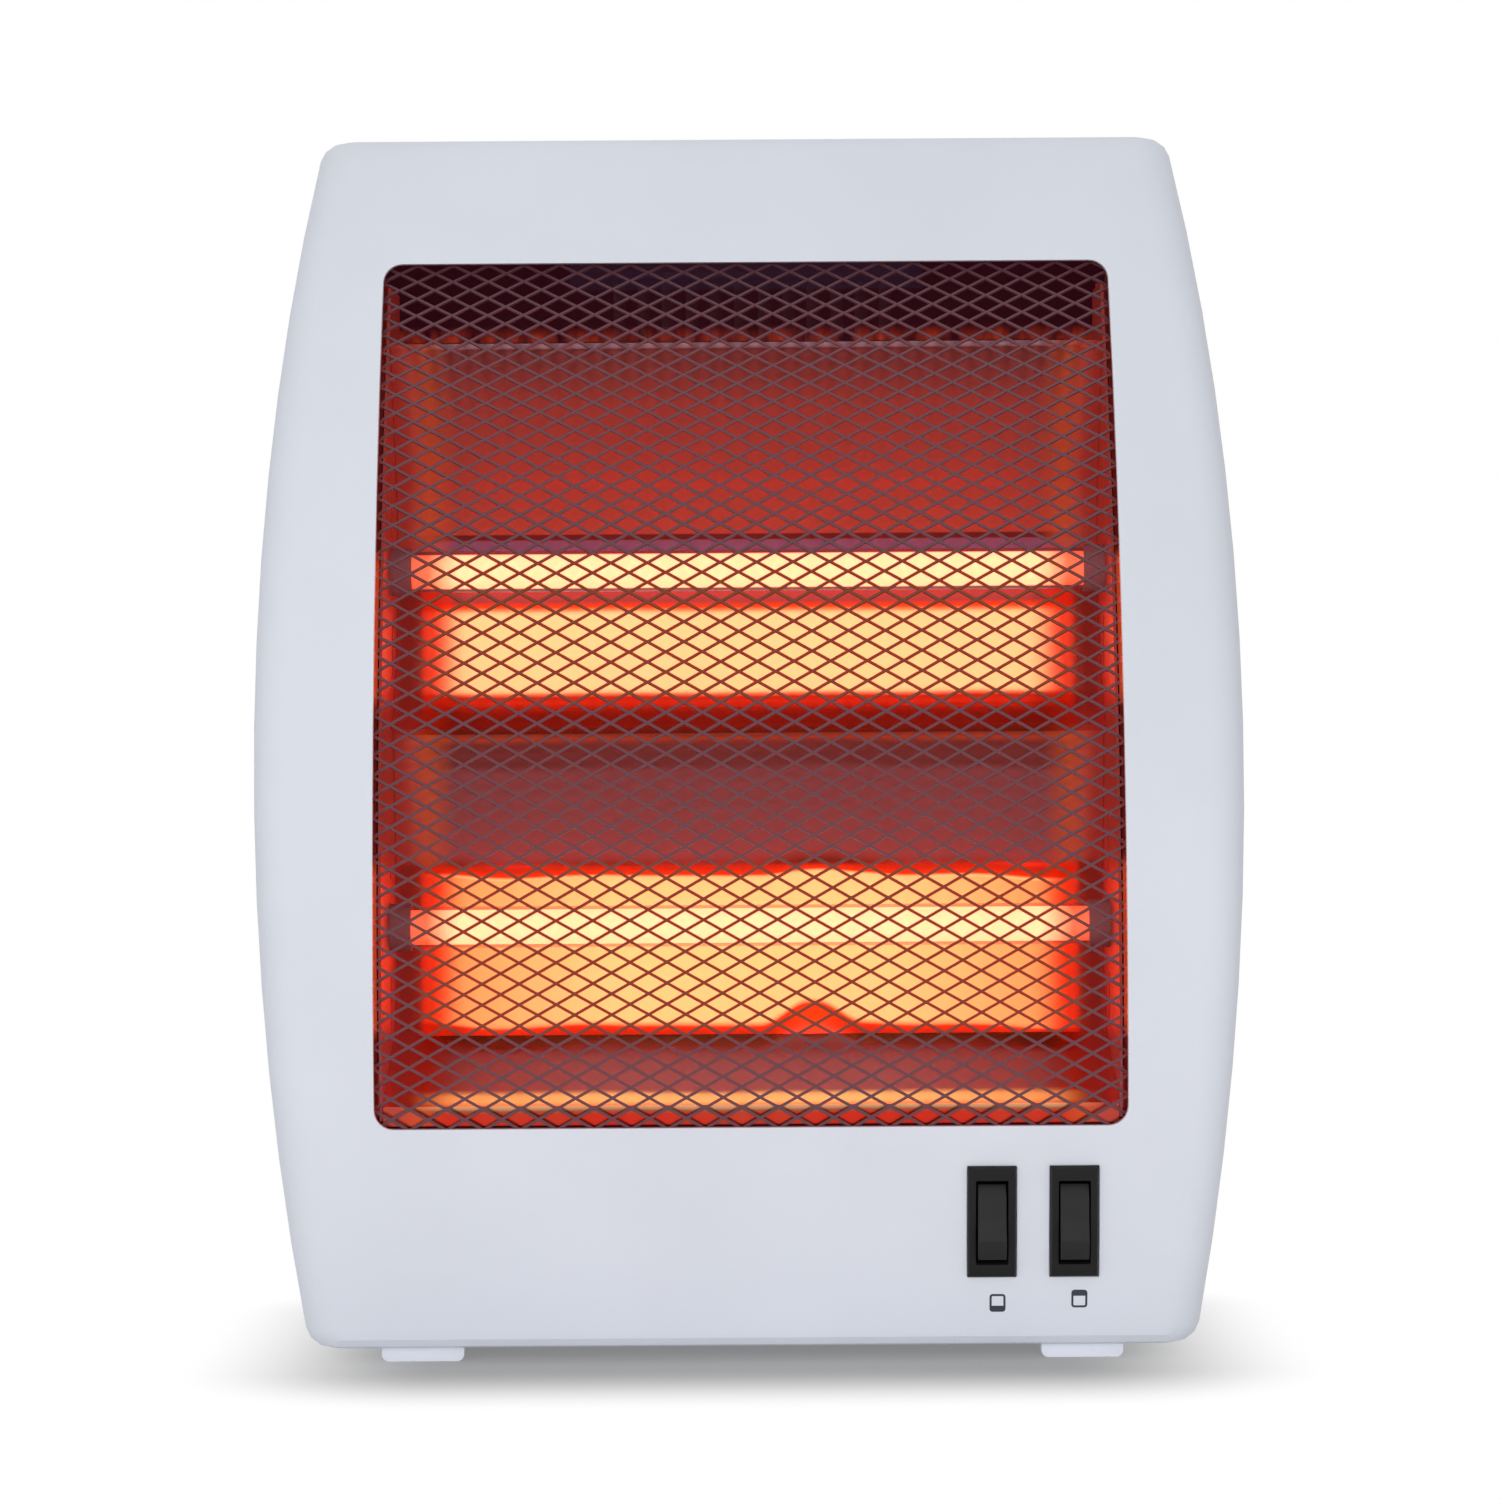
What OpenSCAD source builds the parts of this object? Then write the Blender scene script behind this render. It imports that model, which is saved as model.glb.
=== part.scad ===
/* [Housing] */
// Width of the housing at its widest
body_w = 280; // [250:1:310]
// Height from the floor to the top
body_h = 355; // [318:1:400]
// Depth from the front-most point to the back
body_d = 125; // [112:1:138]
// Depth at the top, where the curved front leans furthest back
top_depth = 44.1; // [40:0.1:50]
// Height of the front-most point above the floor
front_peak_z = 104; // [96:1:112]
// Radius of the bowed sides, seen from the front
side_r = 1100; // [900:20:2000]
// Rounding of the long front edges
edge_r = 11; // [7:0.5:13]
// Rounding of the long back edges
back_edge_r = 8; // [5:0.5:10]
// Rounding of the top and bottom edges
corner_r = 6; // [3:0.5:7]
// Wall of both housing shells
wall = 2.5; // [2:0.1:3]
// Distance from the back to the parting line
rear_d = 32.5; // [30:0.5:34]

/* [Window] */
// Width of the housing beside the window
side_border = 34.5; // [32:0.5:38]
// Height of the housing over the window
top_border = 40; // [38:1:46]
// Height of the window's lower edge above the floor
window_z = 67; // [64:1:72]
// Rounding of the window's corners
window_r = 5.5; // [3:0.5:9]
// Depth of the flange behind the window
flange_d = 8; // [5:0.5:10]

/* [Guard] */
// Sheet of the mesh guard
guard_t = 0.8; // [0.6:0.1:1]
// Width of one diamond, from knot to knot
mesh_pitch_x = 12.9; // [12:0.1:24]
// Height of one diamond, from knot to knot
mesh_pitch_z = 7.3; // [7:0.1:14]
// Width of a strand
strand_w = 1.1; // [0.9:0.1:2]
// Depth of the sides that are folded back
guard_return = 14; // [10:0.5:15]

/* [Heating tubes] */
// Outer diameter of a quartz tube
tube_d = 12; // [10:0.5:13]
// Wall of a quartz tube
tube_wall = 1; // [0.8:0.1:1.5]
// How far an end cap reaches into the window
cap_reach = 8; // [6:0.5:12]
// Height of the upper tube above the floor
upper_tube_z = 225; // [222:1:228]
// Height of the lower tube above the floor
lower_tube_z = 122; // [119:1:125]
// Depth of the upper tube behind the front
upper_tube_depth = 36.6; // [32:0.1:40]
// Depth of the lower tube behind the front
lower_tube_depth = 41.6; // [36:0.1:44]
// Turns of one heating coil
coil_turns = 30; // [16:1:40]
// Diameter of the heating wire
wire_d = 1; // [0.8:0.1:1.2]
// Outer diameter of a heating coil
coil_d = 6.5; // [5:0.1:7]

/* [Reflector] */
// Sheet of the reflector and its end plates
sheet_t = 0.8; // [0.5:0.1:1]
// Depth of a trough behind its tube
trough_d = 20.7; // [19:0.1:22]
// Radius of the upper trough
upper_trough_r = 60.9; // [56:0.1:70]
// Radius of the lower trough
lower_trough_r = 49.7; // [46:0.1:60]

/* [Switches] */
// Spacing of the two rocker switches
switch_gap = 23.1; // [20:0.1:28]
// Distance of the pair's middle from the housing's side
switch_side = 61.2; // [52:0.1:76]
// Height of the switches along the front
switch_z = 40; // [36:0.5:42]
// Width of a switch's bezel
bezel_w = 13.9; // [13:0.1:16]
// Height of a switch's bezel
bezel_h = 31.9; // [30:0.1:33]
// Angle between a rocker's two positions
rocker_travel = 22; // [16:1:24]

/* [Base] */
// Height of the feet
foot_h = 4; // [3:0.5:6]
// Width of a foot
foot_w = 23.3; // [18:0.1:26]
// Distance of a foot's middle from the housing's side
foot_side = 46.6; // [42:0.1:52]
// Travel of the tip-over plunger
plunger_travel = 5; // [3:0.5:6]

/* [Hidden] */

// Colours, as the photograph shows them
white_plastic = [0.83, 0.85, 0.89];
mesh_grey = [0.42, 0.30, 0.35];
polished = [0.80, 0.62, 0.58];
steel = [0.72, 0.72, 0.74];
quartz = [1.0, 0.86, 0.55];
glowing_wire = [1.0, 0.45, 0.10];
ceramic = [0.86, 0.82, 0.78];
switch_black = [0.20, 0.20, 0.20];
brass = [0.80, 0.66, 0.34];
block_ivory = [0.90, 0.88, 0.80];

// Places that all parts share
half_d = body_d/2;
part_y = half_d - rear_d;
base_z = foot_h;
mid_z = (base_z + body_h)/2;
fit = 0.2;
pin_fit = 0.05;
seat_gap = 0.3;
round_fn = 32;

// The front's radius brings it from its foremost line to the depth at the top
set_back = body_d - top_depth;
front_r = (pow(body_h - front_peak_z, 2) + pow(set_back, 2))/(2*set_back);

// Front surface at a height, half the width there, and how far the front leans
function front_y(z) = front_r - half_d - sqrt(pow(front_r, 2) - pow(z - front_peak_z, 2));
function half_w(z) = body_w/2 - side_r + sqrt(pow(side_r, 2) - pow(z - mid_z, 2));
function lean(z) = asin((z - front_peak_z)/front_r);

// ---- The housing's outer form: rounded levels, lofted from bottom to top ----
function turn(cx, cy, r, from, to, n) =
  [for (i = [0:n]) let (a = from + (to - from)*i/n) [cx + r*cos(a), cy + r*sin(a)]];

function level_outline(z, inset, shrink, n) =
  let (hw = half_w(z) - inset - shrink,
       yf = front_y(z) + inset/cos(lean(z)) + shrink,
       yb = half_d - inset - shrink,
       rf = max(edge_r - inset - shrink, 1),
       rb = max(back_edge_r - inset - shrink, 1))
  concat(turn(hw - rf, yf + rf, rf, -90, 0, n), turn(hw - rb, yb - rb, rb, 0, 90, n/2),
         turn(rb - hw, yb - rb, rb, 90, 180, n/2), turn(rf - hw, yf + rf, rf, 180, 270, n));

// Each level's height, and how much the end rounding draws it in
function levels(inset, rise, rounds) =
  let (z0 = base_z + inset, z1 = body_h - inset, r = max(corner_r - inset, 1), step = 90/rounds)
  concat([for (a = [90:-step:0]) [z0 + r*(1 - sin(a)), r*(1 - cos(a))]],
         [for (i = [1:rise - 1]) [z0 + r + (z1 - z0 - 2*r)*i/rise, 0]],
         [for (a = [0:step:90]) [z1 - r*(1 - sin(a)), r*(1 - cos(a))]]);

module loft(rings) {
  n = len(rings[0]);
  last = len(rings) - 1;
  sides = [for (k = [0:last - 1], i = [0:n - 1])
           let (a = k*n + i, b = k*n + (i + 1)%n, c = b + n, d = a + n)
           each [[a, d, c], [a, c, b]]];
  polyhedron(points = [for (ring = rings) each ring],
             faces = concat(sides, [[for (i = [0:n - 1]) i]],
                            [[for (i = [n - 1:-1:0]) last*n + i]]));
}

module housing_form(inset, n = 4, rise = 10, rounds = 2) {
  loft([for (l = levels(inset, rise, rounds))
        [for (p = level_outline(l[0], inset, l[1], n)) [p[0], p[1], l[0]]]]);
}

module outer_form() {
  housing_form(0, n = 6, rise = 14, rounds = 3);
}

// A slab across the whole housing between two depths
module slab(y0, y1) {
  translate([-body_w, y0, -1])
    cube([2*body_w, y1 - y0, body_h + 2]);
}

// Places children on the front surface at a height, with -Y outwards
module on_front(z) {
  translate([0, front_y(z), z])
    rotate([-lean(z), 0, 0])
      children();
}

// A cylinder along Y from one depth to another
module rod_y(r, y0, y1, fn = round_fn) {
  translate([0, y0, 0])
    rotate([-90, 0, 0])
      cylinder(r = r, h = y1 - y0, $fn = fn);
}

// A cylinder along X from one place to another
module rod_x(r, x0, x1, fn = round_fn) {
  translate([x0, 0, 0])
    rotate([0, 90, 0])
      cylinder(r = r, h = x1 - x0, $fn = fn);
}

// A rounded rectangle in the XZ plane, extruded along Y
module rounded_block(w, h, r, y0, y1, fn = 24) {
  hull()
    for (x = [r - w/2, w/2 - r], z = [r - h/2, h/2 - r])
      translate([x, 0, z])
        rod_y(r, y0, y1, fn);
}

// ---- Window ----
window_w = body_w - 2*side_border;
window_top_z = body_h - top_border;
window_h = window_top_z - window_z;
window_mid_z = window_z + window_h/2;
guard_seat = 0.5;
guard_gap = wall + guard_seat;
guard_over = [1.4, 1];
guard_half_w = window_w/2 + guard_over[0];
guard_low_z = window_z - guard_over[1];
guard_high_z = window_top_z + guard_over[1];
flange_gap = 1.8;
flange_t = 1.6;

module window_block(grow, y0, y1) {
  translate([0, 0, window_mid_z])
    rounded_block(window_w + 2*grow, window_h + 2*grow, window_r + grow, y0, y1);
}

// ---- Fastening points ----
boss_r = 4;
rib_t = 1.4;
tongue_l = 4;
pilot_r = 1.45;
shank_r = 1.3;
screw_r = 1.75;
head_r = 3.4;
head_h = 2;
// Case screws, upper, middle and lower: distance from the side, and height
case_in = [26, 14, 22];
case_top = 27;
case_drop = 6.5;
case_low = 24;
case_points = [[body_w/2 - case_in[0], body_h - case_top],
               [body_w/2 - case_in[1], mid_z - case_drop],
               [body_w/2 - case_in[2], case_low]];
case_pilot_l = 14;
guard_pilot_l = 8;
plate_pilot_l = 10;
tube_wall_r = 5.6;
screw_floor = 3;
// Guard and end-plate screws sit between the window's flange and the side walls
tab_out = 7.5;
tab_in = [25, 27];
tab_x = window_w/2 + tab_out;
guard_tab_zs = [window_z + tab_in[0], window_mid_z, window_top_z - tab_in[1]];
guard_tab_r = 5;
plate_tab_out = 12;
plate_tab_in = [9, 11];
plate_tab_x = window_w/2 + plate_tab_out;
plate_tab_zs = [window_z + plate_tab_in[0], window_top_z - plate_tab_in[1]];
plate_tab_d = 25;
small_boss_r = 3;
foot_screw_in = [32.5, 17];
foot_screw_ys = [foot_screw_in[0] - half_d, half_d - foot_screw_in[1]];
foot_boss_h = 8;
foot_x = body_w/2 - foot_side;
boss_root = 4;

function guard_back(z) = front_y(z) + guard_gap + guard_return;
function plate_tab_y(z) = front_y(z) + plate_tab_d;

module both_sides() {
  for (side = [0, 1])
    mirror([side, 0, 0])
      children();
}

// ---- Switch geometry, in the front's own frame ----
seat_depth = 0.5;
bezel_t = 2.2;
body_slot_w = 10.9;
body_slot_h = 28.8;
switch_depth = 18;
recess_w = 9;
recess_h = 24;
recess_d = 9.5;
rocker_w = 8;
rocker_h = 21.6;
pivot_depth = 3.5;
pin_r = 1.2;
pin_reach = 1.1;
rocker_rest = rocker_travel/2;
switch_x = body_w/2 - switch_side;
switch_xs = [switch_x - switch_gap/2, switch_x + switch_gap/2];
// The snap wings stand clear of the wall's back, which is made of flats
wing_gap = 0.8;
wing_w = 6;
wing_h = 1.1;
wing_end = 9;
wing_lap = 0.1;
bezel_edge = 0.8;
bezel_slope = 0.7;
blade_size = [4.8, 7.5, 0.8];
blade_z = 7;
blade_start = seat_depth - bezel_edge + switch_depth;

module at_switch(i) {
  translate([switch_xs[i], 0, 0])
    on_front(switch_z)
      children();
}

// ---- Tip-over switch ----
tip_x = -20;
tip_y = 6;
tip_size = [20, 16, 24];
plunger_r = 3;
tip_floor_z = base_z + wall;
tip_blade_pitch = 6;

// ---- Cord inlet ----
gland_side = 56;
gland_x = gland_side - body_w/2;
gland_z = 44;
gland_hole_r = 6.2;
gland_flange_r = 8.8;
gland_recess = 2;

// A boss from the front wall, with a rib that ties it to the side wall
module case_boss(x, z) {
  translate([x, 0, z]) {
    rod_y(boss_r, front_y(z) - boss_r, part_y);
    hull() {
      translate([0, front_y(z), -rib_t/2])
        cube([body_w/2, rib_t, rib_t]);
      translate([0, part_y - 2*tongue_l, -rib_t/2])
        cube([rib_t, rib_t, rib_t]);
    }
  }
}

module front_bosses() {
  intersection() {
    housing_form(wall/2);
    both_sides() {
      for (p = case_points)
        case_boss(p[0], p[1]);
      for (z = guard_tab_zs)
        translate([tab_x, 0, z])
          rod_y(small_boss_r, front_y(z) - boss_root, guard_back(z));
      for (z = plate_tab_zs)
        translate([plate_tab_x, 0, z])
          rod_y(small_boss_r, front_y(z) - boss_root, plate_tab_y(z));
      translate([foot_x, foot_screw_ys[0], base_z])
        cylinder(r = boss_r, h = wall + foot_boss_h, $fn = round_fn);
    }
  }
}

module front_pilots() {
  both_sides() {
    for (p = case_points)
      translate([p[0], 0, p[1]])
        rod_y(pilot_r, part_y - case_pilot_l, part_y + 1, 12);
    for (z = guard_tab_zs)
      translate([tab_x, 0, z])
        rod_y(pilot_r, guard_back(z) - guard_pilot_l, guard_back(z) + 1, 12);
    for (z = plate_tab_zs)
      translate([plate_tab_x, 0, z])
        rod_y(pilot_r, plate_tab_y(z) - plate_pilot_l, plate_tab_y(z) + 1, 12);
    translate([foot_x, foot_screw_ys[0], base_z - 1])
      cylinder(r = pilot_r, h = wall + foot_boss_h, $fn = 12);
  }
}

// The flange's corners are square, so that the guard's corners stand free inside it
module window_sleeve(grow, y0, y1) {
  translate([-window_w/2 - grow, y0, window_z - grow])
    cube([window_w + 2*grow, y1 - y0, window_h + 2*grow]);
}

module window_flange() {
  intersection() {
    difference() {
      housing_form(wall/2);
      housing_form(wall + flange_d);
    }
    difference() {
      window_sleeve(flange_gap + flange_t, -half_d, part_y);
      window_sleeve(flange_gap, -half_d - 1, part_y + 1);
    }
  }
}

module switch_openings() {
  for (i = [0, 1])
    at_switch(i) {
      translate([-bezel_w/2 - fit, -edge_r, -bezel_h/2 - fit])
        cube([bezel_w + 2*fit, edge_r + seat_depth, bezel_h + 2*fit]);
      translate([-body_slot_w/2 - fit, -1, -body_slot_h/2 - fit])
        cube([body_slot_w + 2*fit, edge_r, body_slot_h + 2*fit]);
    }
}

module front_cover() {
  color(white_plastic)
    difference() {
      union() {
        intersection() {
          difference() {
            outer_form();
            housing_form(wall);
          }
          slab(-body_d, part_y);
        }
        front_bosses();
        window_flange();
      }
      window_block(0, -half_d - 1, part_y + 1);
      switch_openings();
      front_pilots();
      translate([tip_x, tip_y, 0])
        cylinder(r = plunger_r + 1, h = base_z + 2*wall, $fn = round_fn);
    }
}

// ---- Rear cover ----
vent_pitch = 7.4;
vent_share = 0.42;
vent_count = round(vent_share*window_w/vent_pitch);
vent_slot = 2;
vent_slant = 58;
// The vents' ends, from the window's upper and lower edge
upper_vent_span = [-81, 1];
lower_vent_span = [-5, 37];
upper_vent = [for (end = upper_vent_span) window_top_z + end];
lower_vent = [for (end = lower_vent_span) window_z + end];
grip_w = 104;
grip_h = 22;
grip_d = 16;
grip_top = 24;
grip_z = body_h - grip_top;
grip_r = 6;
tongue_t = 1.4;

// Slots that slant sideways through the back, so that nothing is seen straight through them
module vent_row(heights) {
  length = heights[1] - heights[0] - vent_slot;
  for (i = [0:vent_count - 1])
    translate([(i - (vent_count - 1)/2)*vent_pitch, half_d - wall/2, (heights[0] + heights[1])/2])
      rotate([90, 0, vent_slant])
        linear_extrude(6*wall, center = true) {
          square([vent_slot, length], center = true);
          for (end = [-length/2, length/2])
            translate([0, end])
              circle(vent_slot/2, $fn = 12);
        }
}

module tongue() {
  intersection() {
    difference() {
      housing_form(wall + fit);
      housing_form(wall + fit + tongue_t);
    }
    slab(part_y - tongue_l, part_y + tongue_l);
  }
  intersection() {
    difference() {
      housing_form(wall/2);
      housing_form(wall + fit + tongue_t/2);
    }
    slab(part_y, part_y + tongue_l);
  }
}

module rear_posts() {
  both_sides() {
    for (p = case_points)
      translate([p[0], 0, p[1]])
        rod_y(tube_wall_r, part_y, half_d - wall/2);
    translate([foot_x, foot_screw_ys[1], base_z + wall/2])
      cylinder(r = boss_r, h = wall/2 + foot_boss_h, $fn = round_fn);
  }
  translate([gland_x, 0, gland_z])
    rod_y(gland_flange_r + wall, half_d - gland_recess - wall, half_d - wall/2, 24);
}

module rear_holes() {
  both_sides() {
    for (p = case_points)
      translate([p[0], 0, p[1]]) {
        rod_y(head_r + fit, part_y + screw_floor, half_d + 1, 16);
        rod_y(screw_r + fit, part_y - 1, half_d, 12);
      }
    translate([foot_x, foot_screw_ys[1], base_z - 1])
      cylinder(r = pilot_r, h = wall + foot_boss_h, $fn = 12);
  }
  translate([gland_x, 0, gland_z]) {
    rod_y(gland_hole_r, 0, half_d + 1, 24);
    rod_y(gland_flange_r + fit, half_d - gland_recess, half_d + 1, 24);
  }
}

module rear_cover() {
  color(white_plastic)
    difference() {
      union() {
        intersection() {
          difference() {
            outer_form();
            housing_form(wall);
          }
          slab(part_y, body_d);
        }
        rear_posts();
        tongue();
        translate([0, 0, grip_z])
          rounded_block(grip_w + 2*wall, grip_h + 2*wall, grip_r + wall,
                        half_d - grip_d - wall, half_d - wall/2);
      }
      translate([0, 0, grip_z])
        rounded_block(grip_w, grip_h, grip_r, half_d - grip_d, half_d + 1);
      vent_row(upper_vent);
      vent_row(lower_vent);
      rear_holes();
    }
}

// ---- Feet: rounded runners from front to back ----
foot_in = [18.5, 8];
foot_front_y = foot_in[0] - half_d;
foot_back_y = half_d - foot_in[1];
foot_round = 2;
foot_recess = 1.6;

module foot(side) {
  color(white_plastic)
    translate([side*foot_x, 0, 0])
      difference() {
        translate([0, foot_back_y, 0])
          rotate([90, 0, 0])
            linear_extrude(foot_back_y - foot_front_y) {
              for (x = [foot_round - foot_w/2, foot_w/2 - foot_round])
                translate([x, foot_round])
                  circle(foot_round, $fn = round_fn);
              translate([foot_round - foot_w/2, 0])
                square([foot_w - 2*foot_round, foot_h]);
              translate([-foot_w/2, foot_round])
                square([foot_w, foot_h - foot_round]);
            }
        for (y = foot_screw_ys)
          translate([0, y, -1]) {
            cylinder(r = head_r + fit, h = 1 + foot_h - foot_recess, $fn = round_fn);
            cylinder(r = screw_r + fit, h = foot_h + 2, $fn = round_fn);
          }
      }
}

// ---- Mesh guard: expanded sheet in flat facets that follow the curved front ----
facets = 6;
mesh_margin = 3;
guard_r = front_r - guard_gap;
guard_c = front_r - half_d;
guard_zs = [for (i = [0:facets]) guard_low_z + (guard_high_z - guard_low_z)*i/facets];
function guard_y(z) = guard_c - sqrt(pow(guard_r, 2) - pow(z - front_peak_z, 2));
// The pitch is stretched a little, so that whole diamonds fill the width and each facet
mesh_w = 2*guard_half_w - 2*mesh_margin;
mesh_cols = round(mesh_w/mesh_pitch_x);
col_pitch = mesh_w/mesh_cols;
side_hole_end = 1.5;
side_hole = [guard_return/2 - side_hole_end, 0.32*mesh_pitch_z];

fold_rim = strand_w/2;
fold_lap = 0.1;
// Neighbouring facets end on different planes inside the side's sheet
function facet_half_w(i) = guard_half_w - guard_t/2 + fold_lap*(i%2);

// A diamond, or the part of it between two shares of its width or height
module diamond(a, b, left = 1, right = 1, low = 1, high = 1) {
  polygon([[-left*a, 0], [0, -low*b], [right*a, 0], [0, high*b]]);
}

// One facet's openings, from its first row of half diamonds to its last
module facet_openings(length) {
  rows = 2*round(length/mesh_pitch_z);
  row_pitch = length/rows;
  a = col_pitch/2 - strand_w;
  b = 2*row_pitch*a/col_pitch;
  for (row = [0:rows])
    let (shift = row%2, low = row == 0 ? 0 : 1, high = row == rows ? 0 : 1)
      translate([0, row*row_pitch]) {
        for (col = [0:mesh_cols - 1 - shift])
          translate([(col - (mesh_cols - 1 - shift)/2)*col_pitch, 0])
            diamond(a, b, low = low, high = high);
        if (shift == 1) {
          translate([-mesh_w/2, 0])
            diamond(a, b, left = 0);
          translate([mesh_w/2, 0])
            diamond(a, b, right = 0);
        }
      }
}

module mesh_facet(i) {
  rise = guard_zs[i + 1] - guard_zs[i];
  run = guard_y(guard_zs[i + 1]) - guard_y(guard_zs[i]);
  slope_l = norm([rise, run]);
  rim_low = i == 0 ? mesh_margin : fold_rim;
  rim_high = i == facets - 1 ? mesh_margin : fold_rim;
  translate([0, guard_y(guard_zs[i]), guard_zs[i]])
    rotate([90 - atan2(run, rise), 0, 0])
      translate([0, 0, -guard_t])
        linear_extrude(guard_t)
          difference() {
            translate([-facet_half_w(i), -fold_lap])
              square([2*facet_half_w(i), slope_l + 2*fold_lap]);
            translate([0, rim_low])
              facet_openings(slope_l - rim_low - rim_high);
          }
}

// The top and bottom edges of the guard, folded back
module guard_rim(z) {
  half = facet_half_w(0) - fold_lap;
  translate([-half, max(guard_y(z), guard_y(z + guard_t)) + guard_t/2, z])
    cube([2*half, mesh_margin, guard_t]);
}

// The side of the guard, folded straight back, with one row of openings
module guard_side() {
  front = [for (z = guard_zs) [guard_y(z) + fold_lap, z]];
  back = [for (i = [facets:-1:0]) [guard_back(guard_zs[i]), guard_zs[i]]];
  count = floor((guard_high_z - guard_low_z - 2*mesh_margin)/mesh_pitch_z);
  translate([guard_half_w - guard_t, 0, 0])
    rotate([90, 0, 90])
      linear_extrude(guard_t)
        difference() {
          polygon(concat(front, back));
          for (i = [0:count - 1])
            let (z = (guard_low_z + guard_high_z)/2 + (i - (count - 1)/2)*mesh_pitch_z)
              translate([(guard_y(z) + guard_back(z))/2, z])
                diamond(side_hole[0], side_hole[1]);
        }
}

module guard_tab(z) {
  difference() {
    translate([facet_half_w(0), guard_back(z), z - guard_tab_r])
      cube([tab_x + guard_tab_r - facet_half_w(0), guard_t, 2*guard_tab_r]);
    translate([tab_x, 0, z])
      rod_y(screw_r, guard_back(z) - 1, guard_back(z) + 2);
  }
}

module guard_mesh() {
  color(mesh_grey) {
    for (i = [0:facets - 1])
      mesh_facet(i);
    guard_rim(guard_low_z + fold_lap);
    guard_rim(guard_high_z - guard_t - fold_lap);
    both_sides() {
      guard_side();
      for (z = guard_tab_zs)
        guard_tab(z);
    }
  }
}

// ---- Heating tubes ----
tube_r = tube_d/2;
plate_in = 1.9;
plate_x = window_w/2 - plate_in;
tube_past_plate = 8.4;
tube_half_l = plate_x + tube_past_plate;
upper_tube_y = front_y(upper_tube_z) + upper_tube_depth;
lower_tube_y = front_y(lower_tube_z) + lower_tube_depth;
cap_nose_wall = 0.9;
cap_nose_r = tube_r + cap_nose_wall;
cap_body_r = 9;
cap_nose_x = window_w/2 - cap_reach;
cap_l = 17.4;
cap_end_x = plate_x + cap_l;
stud_r = 2;
stud_out = 6;
stud_in = 5;
stud_end_x = cap_end_x + stud_out;
stud_head_r = 3.7;
stud_head_x = tube_half_l - stud_in;
stud_head_t = 1.5;
nut_r = 3.6;
nut_t = 2.4;

module at_tube(upper) {
  translate([0, upper ? upper_tube_y : lower_tube_y, upper ? upper_tube_z : lower_tube_z])
    children();
}

module quartz_tube(upper) {
  color(quartz)
    at_tube(upper)
      difference() {
        rod_x(tube_r, -tube_half_l, tube_half_l, 48);
        rod_x(tube_r - tube_wall, -tube_half_l - 1, tube_half_l + 1, 48);
      }
}

// One cap: a nose that comes through the end plate and a wider body behind it
module ceramic_cap() {
  difference() {
    union() {
      rod_x(cap_nose_r, cap_nose_x, plate_x + sheet_t + 1);
      rod_x(cap_body_r, plate_x + sheet_t, cap_end_x);
    }
    rod_x(tube_r + pin_fit, cap_nose_x - 1, tube_half_l + fit);
    rod_x(stud_r + pin_fit, tube_half_l, cap_end_x + 1);
  }
}

module ceramic_caps(upper) {
  color(ceramic)
    at_tube(upper)
      both_sides()
        ceramic_cap();
}

// A stud through the cap, with its head inside the tube and a nut outside
module tube_terminals() {
  color(brass)
    for (upper = [false, true])
      at_tube(upper)
        both_sides() {
          rod_x(stud_r, stud_head_x, stud_end_x);
          rod_x(stud_head_r, stud_head_x, stud_head_x + stud_head_t);
          rod_x(nut_r, cap_end_x, cap_end_x + nut_t, 6);
        }
}

// ---- Heating coil: one wire wound by a formula, with straight leads to the studs ----
coil_r = (coil_d - wire_d)/2;
rings_a_turn = 8;
wire_sides = 6;
lead_l = 2*wire_d;
coil_half_l = stud_head_x - lead_l;
coil_steps = coil_turns*rings_a_turn;
coil_pitch = 2*coil_half_l/coil_turns;

// Each ring's place along the tube and its turn about the tube's middle line
coil_rings = concat([[-stud_head_x, 0]],
                    [for (i = [0:coil_steps]) [-coil_half_l + 2*coil_half_l*i/coil_steps,
                                               360*i/rings_a_turn]],
                    [[stud_head_x, 360*coil_turns]]);
function ring_middle(ring) = [ring[0], coil_r*cos(ring[1]), coil_r*sin(ring[1])];
// A lead runs along the tube; between the leads the wire follows its own slope
function ring_slope(i) = (i <= 1 || i >= coil_steps + 1) ? 0 : 2*PI*coil_r/coil_pitch;
function wire_ring(i) =
  let (a = coil_rings[i][1], out = [0, cos(a), sin(a)], around = [0, -sin(a), cos(a)],
       along = [1, 0, 0] + ring_slope(i)*around,
       across = cross(along/norm(along), out))
  [for (k = [0:wire_sides - 1])
   ring_middle(coil_rings[i]) + wire_d/2*(cos(360*k/wire_sides)*out + sin(360*k/wire_sides)*across)];

coil_gap = min([for (i = [0:coil_steps - 2*rings_a_turn], j = [3:2*rings_a_turn])
                norm(ring_middle(coil_rings[i + 1 + j]) - ring_middle(coil_rings[i + 1]))]) - wire_d;
echo(least_gap_between_coil_turns = coil_gap);

module heating_coil(upper) {
  color(glowing_wire)
    at_tube(upper)
      loft([for (i = [len(coil_rings) - 1:-1:0]) wire_ring(i)]);
}

// ---- Reflector: one polished sheet bent into two troughs ----
// Each trough is drawn from its tube, along a line that leans back with the front
reflector_lean = 2.9;
upper_arc = [27, -46];
upper_arc_shift = 3.7;
lower_arc = [18.7, -31.4];
ridge = [4.5, 7.2];
// The lips end this far inside the window, and the lower one turns down at its edge
lip_in = [4.3, 24];
top_lip = [window_top_z - lip_in[1] - upper_tube_z, -5.6];
bottom_lip = [window_z + lip_in[0] - lower_tube_z, -31.1];
bottom_turn = 5.5;
arc_steps = 12;

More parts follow.
